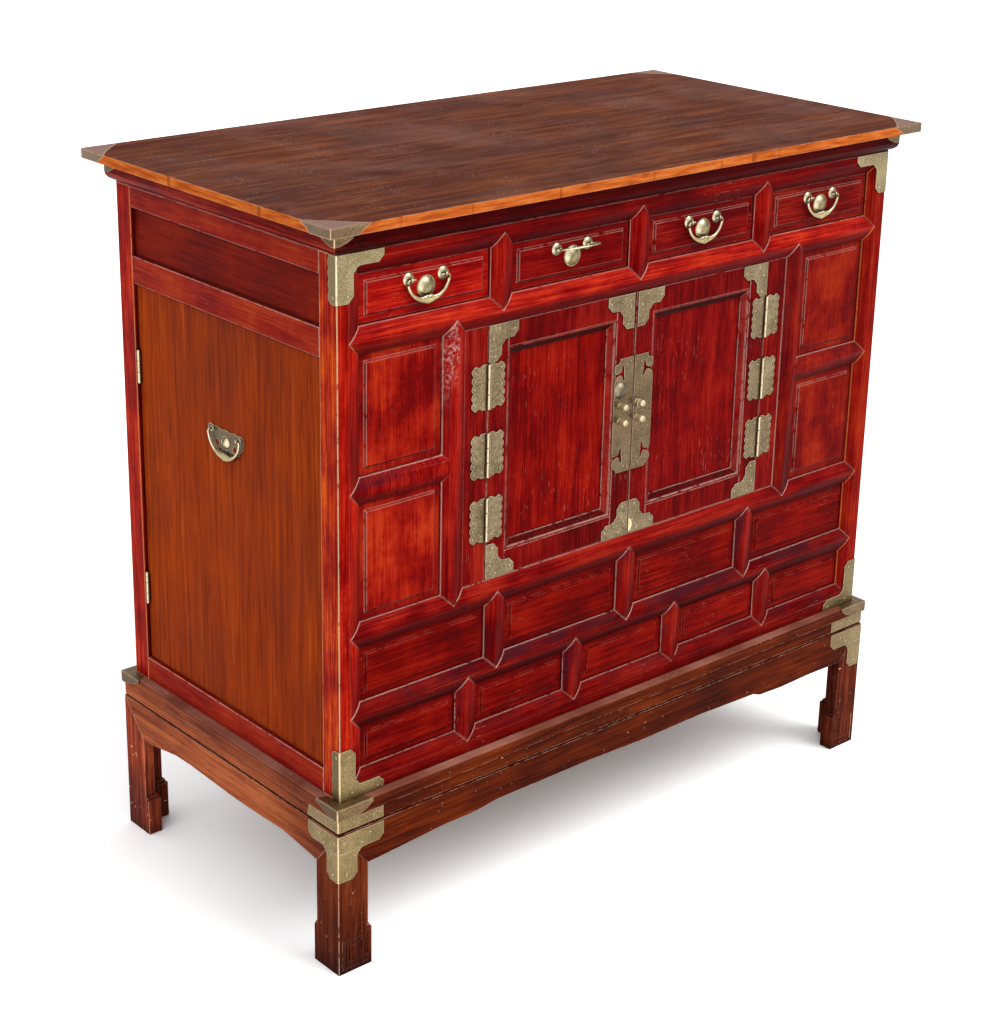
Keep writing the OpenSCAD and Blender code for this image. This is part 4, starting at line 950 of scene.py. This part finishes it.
def drawer_handle(number):
    """The posts, rosettes and dome on one drawer, and its bail. The second bail rests raised."""
    body = f"drawer_{number}_body"
    pivot = pivots[f"drawer_bail_{number}_swing"]
    centre = Vector(pivot)
    along, out = Vector((1, 0, 0)), Vector(FRONT)
    rise = DRAWER_Y - pivot.y
    posts = Piece()
    handle(posts, centre, along, out, half=24.4, rosette=7.6, rise=rise, eye=2.3)
    spot = Vector((pivot.x, DRAWER_Y, pivot.z - 11.3))
    posts.lathe([(12.8, -0.2), (12.8, 0.4), (12.4, 0.6), (0, 0.6)], spot, FRONT, 36)
    posts.boss(11.8, 5.5, spot, FRONT, 36)
    posts.finish(f"handle_{number}", body, olive, [f"drawer_handle_{number}"], 0, "worn_brass")
    if number == 2:
        swing = radians(-105)
        out = Vector((0, -cos(swing), -sin(swing)))
    bail = Piece()
    bail.sweep(bail_stations(centre, along, out, radius=31, wire=1.9, depth=10.5, tip=18.2, post=24.4))
    node = f"drawer_bail_{number}"
    bail.finish(f"bail_{number}", node + "_body", worn, [node], 0, "worn_brass")


for number in (1, 2, 3, 4):
    drawer_handle(number)


# the right half of the bat plate's outline, from the top of its middle
BAT_HALF = [(9, 16), (17, 18.5), (24, 17), (31, 18.5), (36, 16), (37, 10), (33.5, 0), (30, -2), (26, -8),
            (22, -9), (16, -14), (11, -14.5), (5, -18)]
BAT_LEFT = [(-u, v) for u, v in BAT_HALF[::-1]]
BAT = BAT_LEFT[-6:] + [(0, 18)] + BAT_HALF + [(0, -20.5)] + BAT_LEFT[:-6]


def circle(u, v, radius, count=14):
    angles = [2 * pi * k / count for k in range(count)]
    return [(u + radius * cos(angle), v + radius * sin(angle)) for angle in angles]


def end_fittings(side, right):
    """The pierced bat plate, boss, eyes and small hinges of one end door, and its bail."""
    pivot = pivots["left_end_bail_swing"]
    centre = Vector(pivot)
    along, out = Vector((0, 1, 0)), Vector(END)
    piece = Piece()
    holes = [circle(s * 18, -2, 4.2) for s in (-1, 1)] + [circle(s * 12, -9.6, 2.6) for s in (-1, 1)]
    piece.plate(BAT, 1, lambda u, v, w: (END_X - w, pivot.y + u, pivot.z - 12 + v), holes)
    piece.boss(7.8, 5, (END_X - 1, pivot.y, pivot.z - 10), END)
    handle(piece, centre, along, out, half=28, rosette=4.6, rise=END_X - pivot.x, eye=2.3)
    butt(piece, True)
    bail = Piece()
    bail.sweep(bail_stations(centre, along, out, radius=33.5, wire=1.5, depth=10.5, tip=23.5, post=28))
    if right:
        for part in (piece, bail):
            part.mirror(0, CASE_W / 2, keep=False)
    end = side + "_end_"
    piece.finish(side + "_bat_brass", end + "door_body", aged, [end + "brass"], 0.15)
    bail.finish(side + "_bat_bail", end + "bail_body", worn, [end + "bail"], 0, "worn_brass")


for side, right in (("left", False), ("right", True)):
    end_fittings(side, right)


# how wide the rounded arrises of the wooden nodes are, in metres
RED_ARRIS = 0.0008
WOOD_ARRIS = 0.0006
# how far behind their fronts, in millimetres, the drawers are bare wood
FRONT_T = 16


def paint(name, grain, tone, **special):
    """Gives a node a red lacquer of its own, in a tone as it looks on a screen."""
    wear_in(nodes[name], RED_ARRIS, red_lacquer("red_" + name, grain, rgb(*tone), **special))


paint("front_posts", 2, (182, 30, 13), side=rgb(196, 60, 22), rub=1.0, rim=0.0019, dim_right=0.4,
      pale=rgb(255, 228, 174), pale_right=rgb(255, 150, 84))
paint("rear_posts", 2, (166, 20, 14), side=rgb(176, 34, 18), rub=1.0, rim=0.0022, pale=rgb(250, 156, 100))
paint("front_top_rail", 0, (146, 12, 10))
paint("drawer_rail", 0, (180, 34, 20), rub=0.95, rim=0.0018)
paint("sill_rail", 0, (140, 20, 14), rub=0.95, rim=0.0018)
paint("middle_rail", 0, (114, 12, 9), rub=1.0, rim=0.002, bloom=0.7)
paint("bottom_rail", 0, (124, 14, 8), rim=0.0018, bloom=0.4)
paint("drawer_muntins", 2, (160, 22, 14), rub=0.95, rim=0.0018)
paint("row_muntins", 2, (140, 18, 12), rub=0.9, rim=0.002, bloom=0.75)
paint("column_muntins", 2, (166, 26, 16), rub=1.0, rim=0.002, bloom=0.5, flaked=0.5, dim_right=0.4)
paint("column_panels", 2, (166, 30, 15), streaky=0.7, dim_right=0.3)
paint("row_panels", 0, (126, 10, 5), rub=0.5, pale=rgb(228, 118, 98))
paint("door_jambs", 2, (140, 20, 14))
paint("left_door_frame", 2, (128, 14, 12))
paint("right_door_frame", 2, (128, 14, 12))
paint("left_door_panel", 2, (142, 14, 8), scuffed=0.1, moulded=True)
paint("right_door_panel", 2, (136, 14, 12), scuffed=0.17, moulded=True)
bare_from = CORNER.y + MM * (DRAWER_Y + FRONT_T)
for number, tone in enumerate(((176, 22, 15), (127, 8, 8), (138, 18, 14), (140, 24, 17)), 1):
    paint(f"drawer_{number}", 0, tone, bare_behind=bare_from)
paint("end_rails", 1, (160, 42, 23), even=0.4)
paint("cornice", 0, (96, 5, 5), side=rgb(156, 36, 24), mitred="cornice", rub=0.5, end_from=0.3, hollow=0.3)

# the legs: the rear ones and the right one are lighter, and their outer corner is rubbed
STAND = (0.38, 0.47, 0.54, 0.66)
STAND_FRONT = tones(STAND, (54, 15, 7), (82, 27, 11), (101, 36, 13), (131, 53, 18))
STAND_END = tones(STAND, (116, 54, 36), (158, 80, 50), (184, 96, 58), (212, 124, 76))
LEG = tones(STAND, (44, 13, 8), (74, 27, 14), (99, 39, 19), (132, 60, 32))
legs = timber("leg_wood", 2, LEG, chips=0.035, edge=rgb(190, 120, 94), rim=0.0016, worn=0.25)
lighter = legs.mix(1.0, legs.colour, (3.3, 3.4, 4.2, 1), "MULTIPLY")
to_rear = legs.remap(legs.spot("Y"), -0.15, 0.15)
to_right = legs.remap(legs.spot("X"), 0, 0.3, 0.0, 0.2)
legs.tint(lighter, legs.calc("MAXIMUM", to_rear, to_right))
outside = CASE_W / 2 * MM + STAND_OUT * MM - 0.006
corner = legs.times(legs.remap(legs.times(legs.facing("X"), legs.facing("Y")), 0.12, 0.3),
                    legs.patches(0.38, 0.5, 90, 5, 0.75),
                    legs.calc("GREATER_THAN", legs.calc("ABSOLUTE", legs.spot("X")), outside))
legs.tint(rgb(246, 196, 164), corner, 0.9)
wear_in(nodes["stand_legs"], 0.0012, legs.finish_grain(0.4, 0.58, 0.2))

# the rest of the stand, then the end doors, the top and the inside
LEDGE_FRONT = [(place, dimmed(colour, 1.12, 1.15, 1.1)) for place, colour in STAND_FRONT]
for name, stand_wood, front in (("stand_aprons", "stand_wood_aprons", STAND_FRONT),
                                ("stand_frame", "stand_wood_frame", LEDGE_FRONT)):
    stand = wood(stand_wood, 0, front, side=STAND_END, mitred=name, chips=0.025, gaps=0.35,
                 edge=rgb(222, 170, 150), dusty=name == "stand_frame", dark_corner=0.55)
    wear_in(nodes[name], WOOD_ARRIS, stand)
VENEER = tones((0.38, 0.48, 0.56, 0.68), (120, 38, 7), (147, 52, 10), (166, 62, 13), (188, 78, 20))
veneer = wood("end_door_veneer", 2, VENEER, streak_share=0.7, width=220, grime=0.3)
panel = wood("end_panel_lacquer", 1, tones((0.38, 0.5, 0.66), (84, 10, 6), (122, 24, 12), (150, 42, 20)),
             streak_share=0.5)
PLAIN = (0.3, 0.5, 0.7)
inside = wood("inside_wood", 0, tones(PLAIN, (158, 110, 68), (182, 132, 88), (204, 154, 110)))
back = wood("back_wood", 2, tones(PLAIN, (66, 24, 16), (88, 36, 24), (112, 50, 32)))
for material, width, names in (
        (veneer, WOOD_ARRIS, ("left_end_door", "right_end_door")),
        (panel, WOOD_ARRIS, ("end_upper_panels",)),
        (top_veneer(), 0.001, ("top_board",)),
        (inside, WOOD_ARRIS, ("bottom_board", "partitions", "shelves", "dust_board", "drawer_guides")),
        (back, 0.0008, ("back_frame", "back_panels"))):
    for name in names:
        wear_in(nodes[name], width, material)


# camera, measured from the photograph's corners, in the case's own frame
CAMERA_PLACE = CORNER + Vector((-1.2599, -1.68817, 1.2039))
CAMERA_AZIMUTH = radians(41.50)
CAMERA_DOWN = radians(19.23)
CAMERA_ROLL = radians(1.19)
forward = Vector((sin(CAMERA_AZIMUTH) * cos(CAMERA_DOWN), cos(CAMERA_AZIMUTH) * cos(CAMERA_DOWN),
                  -sin(CAMERA_DOWN)))
level = Vector((cos(CAMERA_AZIMUTH), -sin(CAMERA_AZIMUTH), 0))
right = level * cos(CAMERA_ROLL) + level.cross(forward) * sin(CAMERA_ROLL)
up = right.cross(forward)
data = bpy.data.cameras.new("camera")
data.lens = 72.88
data.sensor_width = 36
data.shift_y = -0.0882
camera = placed("camera", data)
turn = Matrix((right, up, -forward)).transposed().to_4x4()
camera.matrix_world = Matrix.Translation(CAMERA_PLACE) @ turn
bpy.context.scene.camera = camera

# floor
floor_mesh = bpy.data.meshes.new("floor")
floor_mesh.from_pydata([(-9, -9, 0), (9, -9, 0), (9, 9, 0), (-9, 9, 0)], [], [(0, 1, 2, 3)])
floor = placed("floor", floor_mesh)
look = Look("pale_floor", Roughness=0.9, Specular_IOR_Level=0.1)
shown = look.mix(look.seen(), (0.35, 0.35, 0.35, 1), (1.4, 1.4, 1.41, 1))
look.put(look.surface.inputs["Base Color"], shown)
floor_mesh.materials.append(look.material)

# light: a plain world that lights the cabinet less than it shows behind it, and two suns
world = bpy.data.worlds.new("studio")
bpy.context.scene.world = world
sky = Nodes(world)
background = world.node_tree.nodes["Background"].inputs
sky.put(background["Strength"], sky.remap(sky.seen(), 0.0, 1.0, 0.75, 1.0))
sky.put(background["Color"], (1, 1, 1, 1))
# each sun: its name, strength, spread in degrees and the way it shines
SUNS = (("key", 1.6, 35, (-0.30, 0.55, -0.78)), ("fill", 0.8, 60, (0.75, 0.35, -0.55)))
for name, energy, spread, way in SUNS:
    lamp = bpy.data.lights.new(name, "SUN")
    lamp.energy = energy
    lamp.angle = radians(spread)
    placed(name, lamp).rotation_euler = Vector(way).to_track_quat("-Z", "Y").to_euler()
bpy.context.scene.view_settings.view_transform = "Standard"
